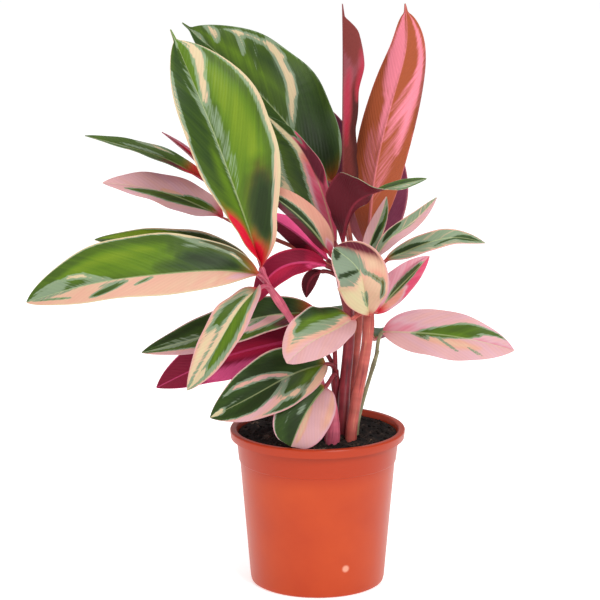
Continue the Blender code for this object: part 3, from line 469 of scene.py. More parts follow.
        ("ember", -0.02, 0.3, 0.5, 0.4, 1.0), ("clay", 0.05, -0.6, 0.4, -0.7, 0.7),
        ("bronze", 0.2, 0.02, 0.9, -0.05, 0.5), ("maroon", 0.4, -0.1, 0.95, -0.5, 0.4),
        ("deep", 0.3, 0.0, 0.9, -0.3, 0.24)), rim="pink", rim_width=0.03, flush=0.14),
    "right_small_blade": Look("blush", "mist", (
        ("teal", 0.2, 0.15, 0.62, 0.45, 0.5), ("green", 0.5, 0.6, 0.9, 0.7, 0.3)), rim="blush", flush=0.12),
    "right_narrow_blade": Look("mist", "blush", (
        ("teal", 0.2, -0.45, 0.5, -0.75, 0.5), ("grey", 0.3, 0.0, 0.7, 0.2, 0.3)), rim="blush"),
    "right_wavy_blade": Look("mist", "mist", (
        ("teal", 0.04, -0.5, 0.5, 0.1, 0.5), ("grey", 0.3, 0.2, 0.75, 0.2, 0.5),
        ("deep", 0.5, 0.6, 0.72, 0.1, 0.16), ("deep", 0.7, 0.0, 0.96, -0.1, 0.9)), rim="blush", flush=0.08),
    "right_broad_blade": Look("pink", "blush", (
        ("blush", 0.1, -0.7, 1.0, -0.5, 0.9), ("tan", 0.3, 0.2, 0.74, 0.4, 0.3),
        ("green", 0.23, 0.04, 0.72, -0.25, 0.42), ("green", 0.4, -0.1, 0.88, -0.8, 0.42),
        ("grass", 0.36, 0.02, 0.66, -0.1, 0.16), ("green", 0.74, -0.6, 0.96, -0.98, 0.08),
        ("bronze", 0.26, 0.1, 0.36, 0.32, 0.09), ("bronze", 0.44, 0.2, 0.6, 0.66, 0.07),
        ("bronze", 0.66, 0.4, 0.78, 0.8, 0.08)), rim="blush"),
    "curled_blade": Look("deep", "green", (
        ("pink", -0.05, 0.3, 0.2, 0.3, 1.4), ("red", 0.3, 0.1, 0.9, 0.1, 0.8)), rim="red", under="magenta",
        flush=0.2),
    "curled_hanging_blade": Look("deep", "green", rim="red", under="maroon"),
    "back_left_blade": Look("green", "grass", (
        ("cream", 0.2, 0.05, 0.6, 0.8, 0.2), ("mist", 0.5, -0.1, 0.9, -0.6, 0.2),
        ("deep", 0.1, -0.4, 0.7, -0.4, 0.4))),
    "back_low_blade": Look("blush", "green", (
        ("deep", 0.2, 0.3, 0.8, 0.4, 0.4), ("green", 0.4, -0.2, 0.8, -0.7, 0.2),
        ("blush", 0.5, 0.1, 0.9, 0.8, 0.18)), rim="blush"),
    "back_right_blade": Look("deep", "green", (
        ("blush", 0.15, -0.05, 0.6, -0.8, 0.22), ("cream", 0.5, 0.05, 0.9, 0.7, 0.16)), rim="pink"),
    "back_high_blade": Look("green", "cream", (
        ("deep", 0.2, -0.3, 0.8, -0.4, 0.4), ("green", 0.3, 0.1, 0.9, 0.5, 0.36),
        ("mist", 0.5, -0.1, 0.8, -0.8, 0.12))),
    "back_tall_blade": Look("deep", "green", (
        ("cream", 0.25, 0.0, 0.6, 0.9, 0.16), ("mist", 0.4, -0.1, 0.75, -0.8, 0.18),
        ("grass", 0.5, 0.5, 1.0, 0.3, 0.4))),
}


def linear(text):
    """sRGB hex as the linear values that a shader's socket holds."""
    channels = [int(text[i : i + 2], 16) / 255 for i in (0, 2, 4)]
    return tuple(c / 12.92 if c <= 0.04045 else ((c + 0.055) / 1.055) ** 2.4 for c in channels) + (1.0,)


def add(tree, kind, inputs=(), ramp=(), **settings):
    """A shader node with its settings. Each input is a value, or is linked from a socket or from the first
    output of a node. A colour ramp is given as places and hex colours."""
    made = tree.nodes.new("ShaderNode" + kind)
    for name, value in settings.items():
        setattr(made, name, value)
    for name, value in dict(inputs).items():
        if isinstance(value, bpy.types.Node):
            value = next(socket for socket in value.outputs if socket.enabled)
        if isinstance(value, bpy.types.NodeSocket):
            tree.links.new(value, made.inputs[name])
        else:
            made.inputs[name].default_value = value
    for place, _ in ramp[2:]:
        made.color_ramp.elements.new(place)
    for element, (place, colour) in zip(made.color_ramp.elements if ramp else (), ramp):
        element.position = place
        element.color = linear(colour)
    return made


def new_material(name):
    """The empty node tree of a new material."""
    material = bpy.data.materials.new(name)
    material.use_nodes = True
    material.node_tree.nodes.clear()
    return material.node_tree


def surface(tree, inputs):
    """The shader with these inputs, as the surface of the tree's material."""
    add(tree, "OutputMaterial", {"Surface": add(tree, "BsdfPrincipled", inputs)})


def deselect():
    if bpy.context.object and bpy.context.object.mode != "OBJECT":
        bpy.ops.object.mode_set(mode="OBJECT")
    bpy.ops.object.select_all(action="DESELECT")


def pick(thing):
    """Selects only this object and makes it the active one."""
    deselect()
    thing.select_set(True)
    bpy.context.view_layer.objects.active = thing


def rename(thing, name):
    thing.name = name
    thing.data.name = name


def shaped_grid(name, points):
    """A grid primitive moved to these points, in millimetres, and the row and column of each corner."""
    rows, columns = points.shape[:2]
    deselect()
    bpy.ops.mesh.primitive_grid_add(x_subdivisions=rows - 1, y_subdivisions=columns - 1, size=2)
    thing = bpy.context.object
    rename(thing, name)
    flat = np.zeros(len(thing.data.vertices) * 3, np.float32)
    thing.data.vertices.foreach_get("co", flat)
    flat = flat.reshape(-1, 3)
    row = np.rint((flat[:, 0] + 1) / 2 * (rows - 1)).astype(int)
    column = np.rint((flat[:, 1] + 1) / 2 * (columns - 1)).astype(int)
    move_corners(thing, points[row, column])
    return thing, row, column


def move_corners(thing, points):
    """Puts the corners of a mesh at these points, in millimetres."""
    thing.data.vertices.foreach_set("co", (points * MM).astype(np.float32).ravel())
    thing.data.update()


def close_seam(thing):
    """Joins points of a grid that lie on each other, as at a tube's seam, and turns its faces outwards."""
    pick(thing)
    bpy.ops.object.mode_set(mode="EDIT")
    bpy.ops.mesh.select_all(action="SELECT")
    bpy.ops.mesh.remove_doubles(threshold=SEAM_REACH * MM)
    bpy.ops.mesh.normals_make_consistent(inside=False)
    bpy.ops.object.mode_set(mode="OBJECT")


def smooth(thing, degrees):
    """Shades the piece smooth across edges that turn by less than this."""
    pick(thing)
    bpy.ops.object.shade_smooth_by_angle(angle=math.radians(degrees))


def coat(thing, material, degrees):
    """Gives the piece its material and its smooth shading."""
    thing.data.materials.append(bpy.data.materials[material])
    smooth(thing, degrees)


def set_attribute(thing, name, kind, values):
    """Stores a value for each point of the mesh, for its material to read."""
    layer = thing.data.attributes.new(name, kind, "POINT")
    field = "color" if kind == "FLOAT_COLOR" else "vector"
    layer.data.foreach_set(field, np.asarray(values, np.float32).ravel())


def join(things, name):
    """One object from several, named."""
    deselect()
    for thing in things:
        thing.select_set(True)
    bpy.context.view_layer.objects.active = things[0]
    bpy.ops.object.join()
    rename(things[0], name)
    return things[0]


def place_in_scene(name, data, place, aim):
    """A lamp or camera at this place, in metres, turned towards its aim."""
    thing = bpy.data.objects.new(name, data)
    thing.location = place
    thing.rotation_euler = (Vector(aim) - thing.location).to_track_quat("-Z", "Y").to_euler()
    bpy.context.scene.collection.objects.link(thing)
    return thing


def unit(vectors):
    """The vectors at length 1."""
    return vectors / np.maximum(np.linalg.norm(vectors, axis=-1, keepdims=True), 1e-9)


def smooth_curve(points, fractions):
    """Points at these fractions of the length of a natural cubic spline through the given points."""
    points = np.asarray(points, float)
    steps = np.linalg.norm(np.diff(points, axis=0), axis=1)
    knots = np.concatenate([[0.0], np.cumsum(steps)])
    count = len(points)
    matrix = np.eye(count)
    right = np.zeros((count, 3))
    for i in range(1, count - 1):
        matrix[i, i - 1 : i + 2] = steps[i - 1], 2 * (steps[i - 1] + steps[i]), steps[i]
        slopes = np.diff(points[i - 1 : i + 2], axis=0) / steps[i - 1 : i + 1, None]
        right[i] = 6 * (slopes[1] - slopes[0])
    bends = np.linalg.solve(matrix, right)
    places = np.linspace(0, knots[-1], CURVE_STEPS)
    span = np.clip(np.searchsorted(knots, places, side="right") - 1, 0, count - 2)
    h = steps[span][:, None]
    after = (places - knots[span])[:, None]
    before = h - after
    fine = (
        (bends[span] * before**3 + bends[span + 1] * after**3) / (6 * h)
        + (points[span] / h - bends[span] * h / 6) * before
        + (points[span + 1] / h - bends[span + 1] * h / 6) * after
    )
    run = np.concatenate([[0.0], np.cumsum(np.linalg.norm(np.diff(fine, axis=0), axis=1))])
    wanted = np.asarray(fractions) * run[-1]
    return np.stack([np.interp(wanted, run, fine[:, axis]) for axis in range(3)], axis=1)


def length_of(points):
    fine = smooth_curve(points, np.linspace(0, 1, LENGTH_STEPS))
    return float(np.linalg.norm(np.diff(fine, axis=0), axis=1).sum())


def eased(values, along):
    """Values given evenly along a blade, with an easy change from each to the next."""
    place = np.asarray(along) * (len(values) - 1)
    before = np.clip(np.floor(place).astype(int), 0, max(len(values) - 2, 0))
    after = np.minimum(before + 1, len(values) - 1)
    share = np.clip(place - before, 0, 1)
    share = share * share * (3 - 2 * share)
    values = np.asarray(values, float)
    return values[before] * (1 - share) + values[after] * share


def outline(leaf, along):
    """Half the blade's width over its greatest: round at the stalk and drawn out to a point."""
    along = np.clip(along / (1 - leaf.drip), 1e-6, 1 - 1e-6)
    rise = (along / leaf.belly) ** leaf.belly
    fall = ((1 - along) / (1 - leaf.belly)) ** (1 - leaf.belly)
    return (rise * fall) ** leaf.slim


def blade_grid(leaf):
    """Fractions along the blade, and across it from 1 at its right edge to -1, closer at the midrib."""
    rows = int(length_of(leaf.path) / MESH_STEP)
    columns = max(LEAST_COLUMNS, int(leaf.width / 2 / MESH_STEP))
    half = np.linspace(0, 1, columns) ** CROWDING
    return np.linspace(0, 1, rows), np.concatenate([half[::-1], -half[1:]])


def blade_surface(leaf, along, across):
    """Points on the middle of the blade, the way its upper side looks there, and how far out they are."""
    midrib = smooth_curve(leaf.path, along)
    ahead = unit(np.gradient(midrib, axis=0))
    faces = np.asarray(leaf.face, float)
    places = np.linspace(0, 1, len(faces))
    looks = np.stack([np.interp(along, places, faces[:, axis]) for axis in range(3)], axis=1)
    up = unit(looks - (looks * ahead).sum(axis=1, keepdims=True) * ahead)
    side = np.cross(ahead, up)
    halves = []
    for widths in (leaf.left, leaf.right):
        half = leaf.width / 2 * outline(leaf, along) * eased(widths, along)
        least = BLADE_FOOT + (BLADE_TIP - BLADE_FOOT) * along
        if leaf.drip:
            least = least + DRIP_WIDTH * np.clip((1 - along) / (2 * leaf.drip), 0, 1) * (along > 0.5)
        halves.append(np.maximum(half, least))
    points = np.zeros((len(along), len(across), 3))
    out_by = np.zeros(points.shape[:2])
    for column, place in enumerate(across):
        right = int(place > 0)
        hand = 1 if right else -1
        wide = halves[right] * abs(place)
        rise = np.radians(leaf.fold[right] + leaf.cup * np.exp(-((along / CUP_REACH) ** 2)))
        bend = np.radians(leaf.curl[right]) * abs(place)
        middle = rise + bend / 2
        out = hand * wide * np.cos(middle) * np.sinc(bend / 2 / math.pi)
        lift = wide * np.sin(middle) * np.sinc(bend / 2 / math.pi)
        ripple = np.sin(2 * math.pi * WAVES * along + WAVE_STARTS[right]) * np.sin(math.pi * along)
        lift = lift + leaf.wave * leaf.width / 2 * place**2 * ripple
        points[:, column] = midrib + out[:, None] * side + lift[:, None] * up
        out_by[:, column] = hand * wide
    normals = -unit(np.cross(np.gradient(points, axis=1), np.gradient(points, axis=0)))
    return points, normals, out_by


def painted(leaf, along, across):
    """How pale, pink, dark and red the blade is at each point, from its look."""
    look = LOOKS[leaf.name]
    t, s = np.meshgrid(along, across, indexing="ij")
    stretch = length_of(leaf.path) / (leaf.width / 2)
    state = np.ones(t.shape + (4,)) * BARE_LEAF

    def lay(paint, cover):
        for channel, value in enumerate(PAINTS[paint]):
            if value is not None:
                state[..., channel] += (value - state[..., channel]) * cover

    def edge(distance, softness):
        return np.clip(0.5 - distance / softness, 0, 1)

    lay(look.left, (s < 0).astype(float))
    lay(look.right, (s >= 0).astype(float))
    for paint, start, start_side, end, end_side, width in look.marks:
        run = np.array([(end - start) * stretch, end_side - start_side])
        x = (t - start) * stretch
        y = s - start_side
        share = np.clip((x * run[0] + y * run[1]) / np.hypot(*run) ** 2, 0, 1)
        away = np.hypot(x - share * run[0], y - share * run[1])
        lens = width / 2 * np.sin(math.pi * np.clip(share, MARK_END, 1 - MARK_END)) ** MARK_TAPER
        cover = edge(away - lens, MARK_SOFTNESS + MARK_SOFTNESS * width)
        if start_side * end_side > 0:  # a mark of one half stops at the midrib
            cover = cover * (s * end_side >= 0)
        lay(paint, cover)
    lay(look.rim, edge(1 - look.rim_width - np.abs(s), RIM_SOFTNESS))
    if look.flush:
        lay("red", edge(t - look.flush, FLUSH_SOFTNESS) * FLUSH_STRENGTH)
    return state


def blade(leaf, number):
    """The blade as thin tissue: pleated between its side veins, with a groove over its midrib and a rib under
    it."""
    along, across = blade_grid(leaf)
    middle, normals, out_by = blade_surface(leaf, along, across)
    out = np.abs(out_by)
    far_out = np.broadcast_to(np.abs(across), out.shape)
    far_on = np.broadcast_to(along[:, None], out.shape)
    veins = far_on * length_of(leaf.path) - VEIN_SLANT * out - VEIN_BEND * out**2 / (leaf.width / 2)
    rib_half = RIB_WIDTH * (1 - RIB_TAPER * far_on)
    fade = np.clip(out / PLEAT_START, 0, 1) * np.clip((1 - far_out) / PLEAT_RIM, 0, 1)
    pleats = PLEAT * np.cos(2 * math.pi * veins / VEIN_SPACING) * fade * np.sin(math.pi * far_on)
    hump = np.exp(-((out / rib_half) ** 2))
    rib = RIB_HEIGHT * np.clip(RIB_FADE - far_on, RIB_LEAST, 1) * hump
    groove = GROOVE * np.clip(GROOVE_FADE - far_on, 0, 1) * hump
    top = middle + normals * (BLADE_THICKNESS / 2 + pleats - groove)[..., None]
    under = middle - normals * (BLADE_THICKNESS / 2 - pleats + rib)[..., None]

    thing, row, column = shaped_grid(leaf.name.replace("_blade", "_leaf"), middle)
    thing.data.materials.append(bpy.data.materials["Living leaf, upper side"])
    thing.data.materials.append(bpy.data.materials["Living leaf, " + LOOKS[leaf.name].under + " underside"])
    seed = np.full(veins.shape, LEAF_SEED * number)
    set_attribute(thing, "veins", "FLOAT_VECTOR", np.stack([veins, out_by, seed], axis=-1)[row, column])
    reach = np.stack([far_on, out / rib_half, far_out], axis=-1)
    set_attribute(thing, "reach", "FLOAT_VECTOR", reach[row, column])
    set_attribute(thing, "paint", "FLOAT_COLOR", painted(leaf, along, across)[row, column])
    pick(thing)
    skin = thing.modifiers.new("tissue", "SOLIDIFY")
    skin.thickness = BLADE_THICKNESS * MM
    skin.offset = 0
    skin.material_offset = 1
    bpy.ops.object.modifier_apply(modifier=skin.name)
    move_corners(thing, np.concatenate([top[row, column], under[row, column]]))
    smooth(thing, 50)
    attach(thing, "root")
    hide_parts(leaf.name)


def leaf_patterns(tree, roughness):
    """What both sides of a leaf go by: the place among its veins, how far out from the midrib, its paint, and
    feathers that run out along the veins."""
    veins = add(tree, "Attribute", attribute_name="veins").outputs["Vector"]
    reach = add(tree, "Attribute", attribute_name="reach").outputs["Vector"]
    out = add(tree, "SeparateXYZ", {0: reach}).outputs["Y"]
    paint = add(tree, "Attribute", attribute_name="paint")
    parts = add(tree, "SeparateColor", {0: paint}).outputs
    feathers = add(tree, "Mapping", {"Vector": veins, "Scale": FEATHERS})
    feather = add(tree, "TexNoise", {"Vector": feathers, "Scale": 1.0, "Detail": 4.0, "Roughness": roughness})
    wobble = add(tree, "Math", {0: feather, 1: 0.5}, operation="SUBTRACT")
    return veins, out, parts, paint.outputs["Alpha"], feather, wobble


def vein_relief(tree, veins, fine_share, strength):
    """Waves for the side veins and for the finer ones between them, and both as a relief."""
    along = add(tree, "SeparateXYZ", {0: veins}).outputs["X"]
    turn = add(tree, "Math", {0: along, 1: 2 * math.pi / VEIN_SPACING}, operation="MULTIPLY")
    ridge = add(tree, "Math", {0: turn}, operation="SINE")
    between = add(tree, "Math", {0: turn, 1: FINE_VEINS}, operation="MULTIPLY")
    fine = add(tree, "Math", {0: between}, operation="SINE")
    height = add(tree, "Math", {0: fine, 1: fine_share, 2: ridge}, operation="MULTIPLY_ADD")
    return ridge, fine, add(tree, "Bump", {"Strength": strength, "Distance": 0.0002, "Height": height})


def leaf_upper_material():
    """Living leaf seen from above: patches of green, grey-green, cream and pink that follow the side veins, a
    pale midrib, a satin skin that shows soft highlights along its pleats, and painted light and shade on
    them."""
    tree = new_material("Living leaf, upper side")
    veins, out, parts, red, feather, wobble = leaf_patterns(tree, 0.6)
    noisy = add(tree, "Math", {0: wobble, 1: 0.62, 2: parts["Red"]}, operation="MULTIPLY_ADD")
    to_grey = add(tree, "MapRange", {"Value": noisy, "From Min": 0.25, "From Max": 0.45}, **SOFT)
    to_pale = add(tree, "MapRange", {"Value": noisy, "From Min": 0.55, "From Max": 0.69}, **SOFT)

    # The green deepens and the cream turns pink in soft clouds between the veins.
    clouds = add(tree, "Mapping", {"Vector": veins, "Scale": CLOUDS, "Location": (5.0, 3.0, 8.0)})
    cloud = add(tree, "TexNoise", {"Vector": clouds, "Scale": 1.0, "Detail": 3.0})
    drift = add(tree, "Math", {0: cloud, 1: 0.5}, operation="SUBTRACT")
    darker = add(tree, "Math", {0: drift, 1: 0.45, 2: parts["Blue"]}, operation="MULTIPLY_ADD")
    green = add(tree, "ValToRGB", {"Fac": darker},
                ramp=((0.0, "6E861A"), (0.25, "567414"), (0.5, "405814"), (0.75, "2C4216"), (1.0, "20300F")))
    pinker = add(tree, "Math", {0: drift, 1: 0.3, 2: parts["Green"]}, operation="MULTIPLY_ADD")
    pale = add(tree, "ValToRGB", {"Fac": pinker},
               ramp=((0.0, "C8BC92"), (0.25, "CEAC8E"), (0.5, "D09A86"), (0.75, "CA9CA4"), (1.0, "C84664")))
    grey = add(tree, "Mix", {0: 0.55, 6: green, 7: linear("9AAC92")}, **COLOURS)
    body = add(tree, "Mix", {0: to_grey, 6: green, 7: grey}, **COLOURS)
    body = add(tree, "Mix", {0: to_pale, 6: body, 7: pale}, **COLOURS)

    line = add(tree, "MapRange", {"Value": out, "From Min": 1.0, "From Max": 0.4, "To Max": 0.7}, **SOFT)
    rib = add(tree, "Mix", {0: 0.5, 6: body, 7: linear("C2CB90")}, **COLOURS)
    body = add(tree, "Mix", {0: line, 6: body, 7: rib}, **COLOURS)

    reds = add(tree, "ValToRGB", {"Fac": parts["Blue"]}, ramp=((0.1, "CC1030"), (1.0, "561022")))
    redness = add(tree, "Math", {0: wobble, 1: 0.5, 2: red}, operation="MULTIPLY_ADD")
    redness = add(tree, "Math", {0: redness, 1: red}, operation="MULTIPLY", use_clamp=True)
    body = add(tree, "Mix", {0: redness, 6: body, 7: reds}, **COLOURS)

    ridge, _, bump = vein_relief(tree, veins, 0.25, 0.22)
    # Painted light and shade: the colour is a little lighter on each side-vein ridge and darker between them.
    painted_vein_shading = add(tree, "MapRange", {"Value": ridge, "From Min": -1.0, "To Min": 0.975, "To Max": 1.015})
    body = add(tree, "HueSaturation", {"Value": painted_vein_shading, "Color": body})
    rough = add(tree, "MapRange", {"Value": feather, "To Min": 0.34, "To Max": 0.52})
    surface(tree, {"Base Color": body, "Roughness": rough, "Specular IOR Level": 0.2, "Normal": bump})


def leaf_under_material(name, green_part, pale_part):
    """Living leaf from below: a thin purple-red layer over the same patches, dull satin, with a paler rib."""
    tree = new_material("Living leaf, " + name + " underside")
    veins, out, parts, red, _, wobble = leaf_patterns(tree, 0.62)
    noisy = add(tree, "Math", {0: wobble, 1: parts["Red"]}, operation="ADD")
    to_pale = add(tree, "MapRange", {"Value": noisy, "From Min": 0.2, "From Max": 0.95}, **SOFT)
    body = add(tree, "Mix", {0: to_pale, 6: linear(green_part), 7: linear(pale_part)}, **COLOURS)
    dark = add(tree, "MapRange", {"Value": parts["Blue"], "From Min": 0.4, "To Min": 1.05, "To Max": 0.35})
    body = add(tree, "HueSaturation", {"Value": dark, "Color": body})
    redness = add(tree, "Math", {0: red, 1: 0.65}, operation="MULTIPLY")
    body = add(tree, "Mix", {0: redness, 6: body, 7: linear("B81C40")}, **COLOURS)
    line = add(tree, "MapRange", {"Value": out, "From Min": 1.3, "From Max": 0.6}, **SOFT)
    rib = add(tree, "Mix", {0: 0.35, 6: body, 7: linear(pale_part)}, **COLOURS)
    body = add(tree, "Mix", {0: line, 6: body, 7: rib}, **COLOURS)

    _, fine, bump = vein_relief(tree, veins, 0.4, 0.4)
    # Painted light and shade: the colour is a little lighter and darker along the fine veins.
    painted_vein_shading = add(tree, "MapRange", {"Value": fine, "From Min": -1.0, "To Min": 0.96, "To Max": 1.03})
    body = add(tree, "HueSaturation", {"Value": painted_vein_shading, "Color": body})
    surface(tree, {"Base Color": body, "Roughness": 0.5, "Specular IOR Level": 0.15, "Normal": bump})


def stem_material(name, skin, dark, light):
    """Smooth leaf stalk and sheath: satin, with fine lengthwise streaks and soft darker and lighter spots."""
    tree = new_material("Stem skin, " + name)
    run = add(tree, "Attribute", attribute_name="run").outputs["Vector"]
    # Streaks 30 mm long and 1 to 2 mm wide, drawn twice as coarse as real fibres so that they show.
    lines = add(tree, "Mapping", {"Vector": run, "Scale": (0.03, 2.4, 1.0)})
    grain = add(tree, "TexNoise", {"Vector": lines, "Scale": 1.0, "Detail": 3.0, "Roughness": 0.6})
    streaks = ((0.3, dark), (0.46, skin), (0.58, skin), (0.75, light))
    body = add(tree, "ValToRGB", {"Fac": grain}, ramp=streaks)
    blotch = add(tree, "TexNoise", {"Vector": run, "Scale": 0.12, "Detail": 2.0})
    spots = add(tree, "MapRange",
                {"Value": blotch, "From Min": 0.35, "From Max": 0.7, "To Min": 0.75, "To Max": 1.12})
    body = add(tree, "HueSaturation", {"Value": spots, "Color": body})
    bump = add(tree, "Bump", {"Strength": 0.3, "Distance": 0.0002, "Height": grain})
    surface(tree, {"Base Color": body, "Roughness": 0.4, "Specular IOR Level": 0.3, "Normal": bump})


def pot_material():
    """Moulded polypropylene in terracotta colour: even, slightly mottled, semi-gloss, with a faint moulded
    grain that breaks up the highlights, and thin scuffs."""
    tree = new_material("Moulded polypropylene, terracotta colour")
    place = add(tree, "TexCoord").outputs["Object"]
    # Cloudy mottling about 45 mm across, as the pigment flows in the mould.
    cloud = add(tree, "TexNoise", {"Vector": place, "Scale": 22.0, "Detail": 4.0, "Roughness": 0.55})
    wall = add(tree, "ValToRGB", {"Fac": cloud}, ramp=((0.3, "AE3608"), (0.7, "B8400E")))
    # The collar, from just below the step up to the lip, is coloured darker and redder than the wall.
    height = add(tree, "SeparateXYZ", {0: place}).outputs["Z"]
    band = add(tree, "MapRange", {"Value": height, "From Min": 0.088, "From Max": 0.104}, **SOFT)
    body = add(tree, "Mix", {0: band, 6: wall, 7: linear("A83006")}, **COLOURS)
    # Scuffs 2 to 4 mm wide and up to 30 mm tall, where pots rub when they are stacked.
    scuffs = add(tree, "Mapping", {"Vector": place, "Scale": (260.0, 260.0, 30.0)})
    scuff = add(tree, "TexNoise", {"Vector": scuffs, "Scale": 1.0, "Detail": 5.0, "Roughness": 0.7})
    worn = add(tree, "MapRange", {"Value": scuff, "From Min": 0.7, "From Max": 0.82, "To Max": 0.25})
    body = add(tree, "Mix", {0: worn, 6: body, 7: linear("DE9274")}, **COLOURS)
    # One pale rub mark about 5 mm across, low on the front.
    away = add(tree, "VectorMath", {0: place, 1: RUB_PLACE}, operation="DISTANCE")
    rub = add(tree, "MapRange", {"Value": away, "From Min": 0.0038, "From Max": 0.0015}, **SOFT)
    pale = add(tree, "Mix", {0: 0.7, 6: body, 7: linear("EEAE94")}, **COLOURS)
    body = add(tree, "Mix", {0: rub, 6: body, 7: pale}, **COLOURS)
    rough = add(tree, "MapRange", {"Value": cloud, "To Min": 0.28, "To Max": 0.44})
    # A moulded grain about 1 mm wide, drawn twice as coarse as real so that it shows.
    grain = add(tree, "TexNoise", {"Vector": place, "Scale": 900.0, "Detail": 2.0})
    bump = add(tree, "Bump", {"Strength": 0.12, "Distance": 0.0003, "Height": grain})
    surface(tree, {"Base Color": body, "Roughness": rough, "Specular IOR Level": 0.3, "Normal": bump})


def soil_material():
    """Moist peat mix: near black, brown where it dries, rough, with fine fibres and crumbs."""
    tree = new_material("Moist potting mix")
    place = add(tree, "TexCoord").outputs["Object"]
    # Grains of 2 to 3 mm, in patches about 10 mm across that are more or less dry.
    grain = add(tree, "TexNoise", {"Vector": place, "Scale": 420.0, "Detail": 6.0, "Roughness": 0.7})
    patch = add(tree, "TexNoise", {"Vector": place, "Scale": 90.0, "Detail": 3.0})
    share = add(tree, "Math", {0: grain, 1: 0.5}, operation="MULTIPLY")
    mixed = add(tree, "Math", {0: patch, 1: 0.5, 2: share}, operation="MULTIPLY_ADD")
    body = add(tree, "ValToRGB", {"Fac": mixed},
               ramp=((0.4, "0B0807"), (0.5, "1A1310"), (0.58, "2E231D"), (0.66, "6E5C4E")))
    bump = add(tree, "Bump", {"Strength": 0.8, "Distance": 0.001, "Height": grain})
    surface(tree, {"Base Color": body, "Roughness": 0.92, "Specular IOR Level": 0.25, "Normal": bump})


def floor_material():
    """Pale studio paper, matt, with a little light of its own so that it stays pale far off."""
    surface(new_material("Pale studio floor"), {
        "Base Color": linear("F4F4F4"), "Roughness": 0.9, "Emission Color": linear("FFFFFF"),
        "Emission Strength": FLOOR_GLOW})


def make_materials():
    leaf_upper_material()
    for name, colours in UNDERSIDES.items():
        leaf_under_material(name, *colours)
    for name, colours in STEM_SKINS.items():
        stem_material(name, *colours)
    pot_material()
    soil_material()
    floor_material()


def stalk_path(leaf, shoot):
    """From inside the shoot, up along it, and out into the blade's foot, which it meets in line."""
    start, above = smooth_curve(shoot.path, (leaf.leaves_at, leaf.leaves_at + SHORT_STEP))
    foot, inside = smooth_curve(leaf.path, (0.0, SHORT_STEP))
    ahead = unit(inside - foot)
    end = foot + STALK_OVERRUN * ahead
    reach = np.linalg.norm(end - start)
    leaving = unit(above - start) * reach
    arriving = ahead * reach
    t = np.linspace(0, 1, STALK_RINGS)[:, None]
    return (
        (2 * t**3 - 3 * t**2 + 1) * start
        + (t**3 - 2 * t**2 + t) * leaving
        + (3 * t**2 - 2 * t**3) * end
        + (t**3 - t**2) * arriving
    )


def bump_at(places, middle, reach):
    """A smooth swelling, 1 high at its middle."""
    return np.exp(-(((places - middle) / reach) ** 2))


def tube(name, path, radii, sides, seed=0.0):
    """A closed round tube along these points, drawn in to a point at both ends."""
    path = np.asarray(path, float)
    ahead = unit(np.gradient(path, axis=0))
    across = np.cross(ahead, (0.0, 1.0, 0.0))
    across = unit(np.where(np.linalg.norm(across, axis=1, keepdims=True) < 0.05, (1.0, 0.0, 0.0), across))
    over = np.cross(ahead, across)
    ends_twice = [0, *range(len(path)), -1]
    path = path[ends_twice]
    radii = np.concatenate([[0.0], radii, [0.0]])
    angles = np.linspace(0, 2 * math.pi, sides + 1)
    points = path[:, None] + radii[:, None, None] * (
        np.cos(angles)[:, None] * across[ends_twice, None] + np.sin(angles)[:, None] * over[ends_twice, None]
    )
    thing, row, column = shaped_grid(name, points)
    run = np.concatenate([[0.0], np.cumsum(np.linalg.norm(np.diff(path, axis=0), axis=1))])
    place = np.zeros(points.shape)
    place[..., 0] = run[:, None]
    place[..., 1] = np.abs(angles - math.pi)
    place[..., 2] = seed
    set_attribute(thing, "run", "FLOAT_VECTOR", place[row, column])
    close_seam(thing)
    return thing


def stems(shoot):
    """A shoot: its cane with a ridge where each sheath ends, and the stalks that leave it."""
    leaves = [leaf for leaf in LEAVES if leaf.shoot == shoot.name]
    fractions = np.linspace(0, 1, CANE_RINGS)
    radii = shoot.foot + (shoot.top - shoot.foot) * fractions
    height, below, reach = SHEATH_RIDGE
    for leaf in leaves:
        radii = radii + height * bump_at(fractions, leaf.leaves_at - below, reach) / max(1, len(leaves) / 3)
    parts = [tube(shoot.name + "_cane", smooth_curve(shoot.path, fractions), radii, CANE_SIDES)]
    height, middle, reach = KNUCKLE
    for number, leaf in enumerate(leaves):
        path = stalk_path(leaf, shoot)
        t = np.linspace(0, 1, len(path))
        thick = max(leaf.stalk, min(STALK_THICK, shoot.top))
        radii = thick + (leaf.stalk - thick) * t + height * bump_at(t, middle, reach)
        radii[-3:] = radii[-3:] * STALK_END
        seed = STALK_SEEDS[0] + STALK_SEEDS[1] * number
        parts.append(tube(leaf.name + "_stalk", path, radii, STALK_SIDES, seed))
    thing = join(parts, shoot.name.replace("_shoot", "_stems"))
    coat(thing, "Stem skin, " + shoot.colour, 60)
    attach(thing, "root")
    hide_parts(shoot.name)


def young_sheath():
    """A rolled young leaf in its sheath, drawn out to a point."""
    fractions = np.linspace(0, 1, BUD_RINGS)
    radii = BUD_FOOT * np.interp(fractions, *BUD_TAPER)
    thing = tube("young_sheath_roll", smooth_curve(BUD_PATH, fractions), radii, CANE_SIDES)
    coat(thing, "Stem skin, rose", 60)
    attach(thing, "root")
    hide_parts("young_sheath")


def wall_inside(height):
    """The inner radius of the pot's tapered wall at a height."""
    slope = (STEP_RADIUS - STEP_DEPTH - FOOT_RADIUS) / (STEP_HEIGHT - FOOT_CORNER)
    radius = FOOT_RADIUS + slope * (height - FOOT_CORNER) - WALL
    return radius + (STEP_DEPTH if height > STEP_HEIGHT + STEP_DEPTH else 0.0)


